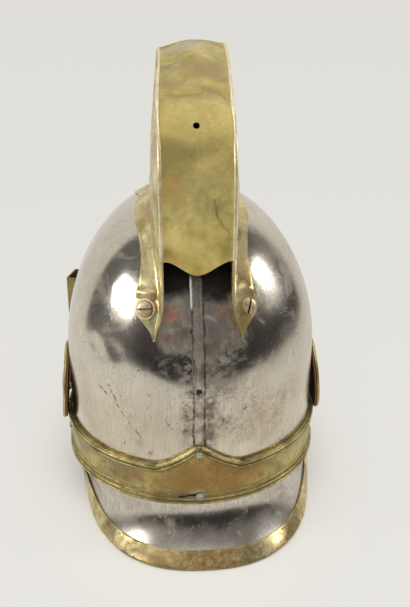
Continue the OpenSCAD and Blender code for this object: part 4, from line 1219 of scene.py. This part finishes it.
def bossLeatherDisc(joint, node, name):
    # rings drawn in from a circle, an uneven cut edge, then a thickness with soft corners
    low, high = corners(node)
    radius = leathers["discRadius"]
    deselectAll()
    bpy.ops.mesh.primitive_circle_add(vertices=96, radius=radius, fill_type="NOTHING")
    disc = bpy.context.object
    disc.name = name
    openEdit(disc, "EDGE")
    pickAll()
    reached = 1
    for share in leathers["discRings"] + [leathers["shankHole"] / radius]:
        bpy.ops.mesh.extrude_edges_move()
        widen((share / reached, share / reached, 1))
        reached = share
    closeEdit()
    for v in disc.data.vertices:
        around = math.atan2(v.co.y, v.co.x)
        worn = leathers["wave"] * (0.5 + 0.5 * math.sin(5 * around + 1.3) * math.cos(3 * around))
        share = math.hypot(v.co.x, v.co.y) / radius
        v.co -= v.co.normalized() * worn * max(0, share - leathers["edgeWear"]) / (1 - leathers["edgeWear"])
    thicken(disc, leathers["discThick"], 0)
    softenEdges(disc)
    applyAll(disc)
    disc.location = (low + high) / 2
    disc.rotation_euler = Vector(joint["axis"]).to_track_quat("Z", "Y").to_euler()
    settle(disc)
    finishPiece(disc, bossLeather, joint["child"], node)


leftJoint, rightJoint = sorted(frame["joints"], key=lambda j: j["name"])
bossLeatherDisc(leftJoint, "boss_leather_left", "bossLeatherLeft")
bossLeatherDisc(rightJoint, "boss_leather_right", "bossLeatherRight")


def softCopy(node, name):
    # a merged and rounded copy of a plain leather solid, to be worked on
    piece = mergedCopy(node, name, 40, 70)
    bpy.ops.mesh.normals_make_consistent(inside=False)
    closeEdit()
    subdivide(piece, 2)
    return piece


bandLow, bandHigh = corners("sweatband")
sweatband = softCopy("sweatband", "sweatbandLeather")
openEdit(sweatband)
nearEdge, fromTop = leathers["crispEdge"]
for height in (bandLow.z + nearEdge, bandHigh.z - nearEdge, bandHigh.z - fromTop):
    pickAll()
    bpy.ops.mesh.bisect(plane_co=(0, 0, height), plane_no=(0, 0, 1))
closeEdit()
applyAll(sweatband)
for v in sweatband.data.vertices:
    around = math.atan2(v.co.y - bowl["middle"], v.co.x)
    height = (v.co.z - bandLow.z) / (bandHigh.z - bandLow.z)
    outward = Vector((math.cos(around), math.sin(around), 0))
    v.co -= outward * leathers["wave"] * (1 + math.sin(11 * around) * math.sin(7 * around + 2)) * height
    v.co.z -= leathers["wave"] * (1 + math.sin(9 * around + 1)) * height


# Stitches in a row round the sweatband, just below its upper edge
def bandPoint(around, height):
    # the band's inner face at that angle and height
    ray = Vector((math.cos(around), math.sin(around), 0))
    hit, at, normal, face = sweatband.ray_cast(Vector((0, bowl["middle"], height)), ray)
    return at, normal


longStitch, thickStitch = leathers["stitch"]
capIn, capOut = leathers["stitchCap"]
deselectAll()
bpy.ops.mesh.primitive_cylinder_add(vertices=6, radius=thickStitch, depth=longStitch)
stitch = bpy.context.object
openEdit(stitch, "FACE")
pick(stitch, lambda co, normal: abs(normal.z) > 0.9, True)
bpy.ops.mesh.inset(thickness=thickStitch * capIn, depth=thickStitch * capOut)
closeEdit()
settle(stitch)
stitches = [stitch]
rowHeight = bandHigh.z - leathers["stitchBelow"]
for k in range(leathers["stitches"]):
    around = 2 * math.pi * k / leathers["stitches"]
    at, normal = bandPoint(around, rowHeight)
    ahead = bandPoint(around + 0.01, rowHeight)[0]
    one = stitch.copy()
    one.data = stitch.data.copy()
    scene.collection.objects.link(one)
    one.location = at + normal * thickStitch * leathers["stitchProud"]
    one.rotation_euler = (ahead - at).to_track_quat("Z", "Y").to_euler()
    stitches.append(one)
deselectAll()
for one in stitches[1:]:
    one.select_set(True)
bpy.context.view_layer.objects.active = stitches[1]
bpy.ops.object.transform_apply(location=True, rotation=True, scale=True)
bpy.ops.object.join()
seam = bpy.context.object
seam.name = "sweatbandStitches"
bpy.data.objects.remove(stitch)
smooth(seam, 60)
giveMaterials(seam, thread)
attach(seam, "helmet")
finishPiece(sweatband, linerLeather, "helmet", "sweatband", 50)

tongues = softCopy("crown_tongues", "crownTongues")
applyAll(tongues)
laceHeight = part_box("crown_tongues")[1][2] - leathers["laceBelow"]
for v in tongues.data.vertices:
    around = math.atan2(v.co.y - bowl["middle"], v.co.x)
    v.co.z -= leathers["wave"] * (1 + math.sin(16 * around)) * leathers["tongueWave"]
for k in range(leathers["tongues"]):
    around = 2 * math.pi * (k + 0.5) / leathers["tongues"]
    reach = leathers["laceReach"]
    at = Vector((math.sin(around) * reach, bowl["middle"] + math.cos(around) * reach, laceHeight))
    deselectAll()
    bpy.ops.mesh.primitive_cylinder_add(vertices=24, radius=leathers["laceHole"], depth=leathers["laceCut"],
                                        location=at)
    cutAway(tongues, bpy.context.object)
finishPiece(tongues, linerLeather, "helmet", "crown_tongues", 50)
print("leathers made")

carriedOver = {
    "tuft_socket": crestBrass, "crest_screws_front": fastenerBrass, "crest_nuts": darkSteel,
    "plume_socket": sheathBrass, "plume_socket_rivets": fastenerBrass, "chin_scale_hook": darkSteel,
    "boss_left": bossBrass, "boss_right": bossBrass, "boss_pin_left": darkSteel, "boss_pin_right": darkSteel,
    "boss_bush_left": fastenerBrass, "boss_bush_right": fastenerBrass, "headband_rivets": rivetMetal,
    "neck_guard_rivets": rivetMetal, "visor_rivets": rivetMetal,
}
for node, material in carriedOver.items():
    for slotOfNode in nodes[node].material_slots:
        slotOfNode.material = material
print("carried-over nodes dressed")
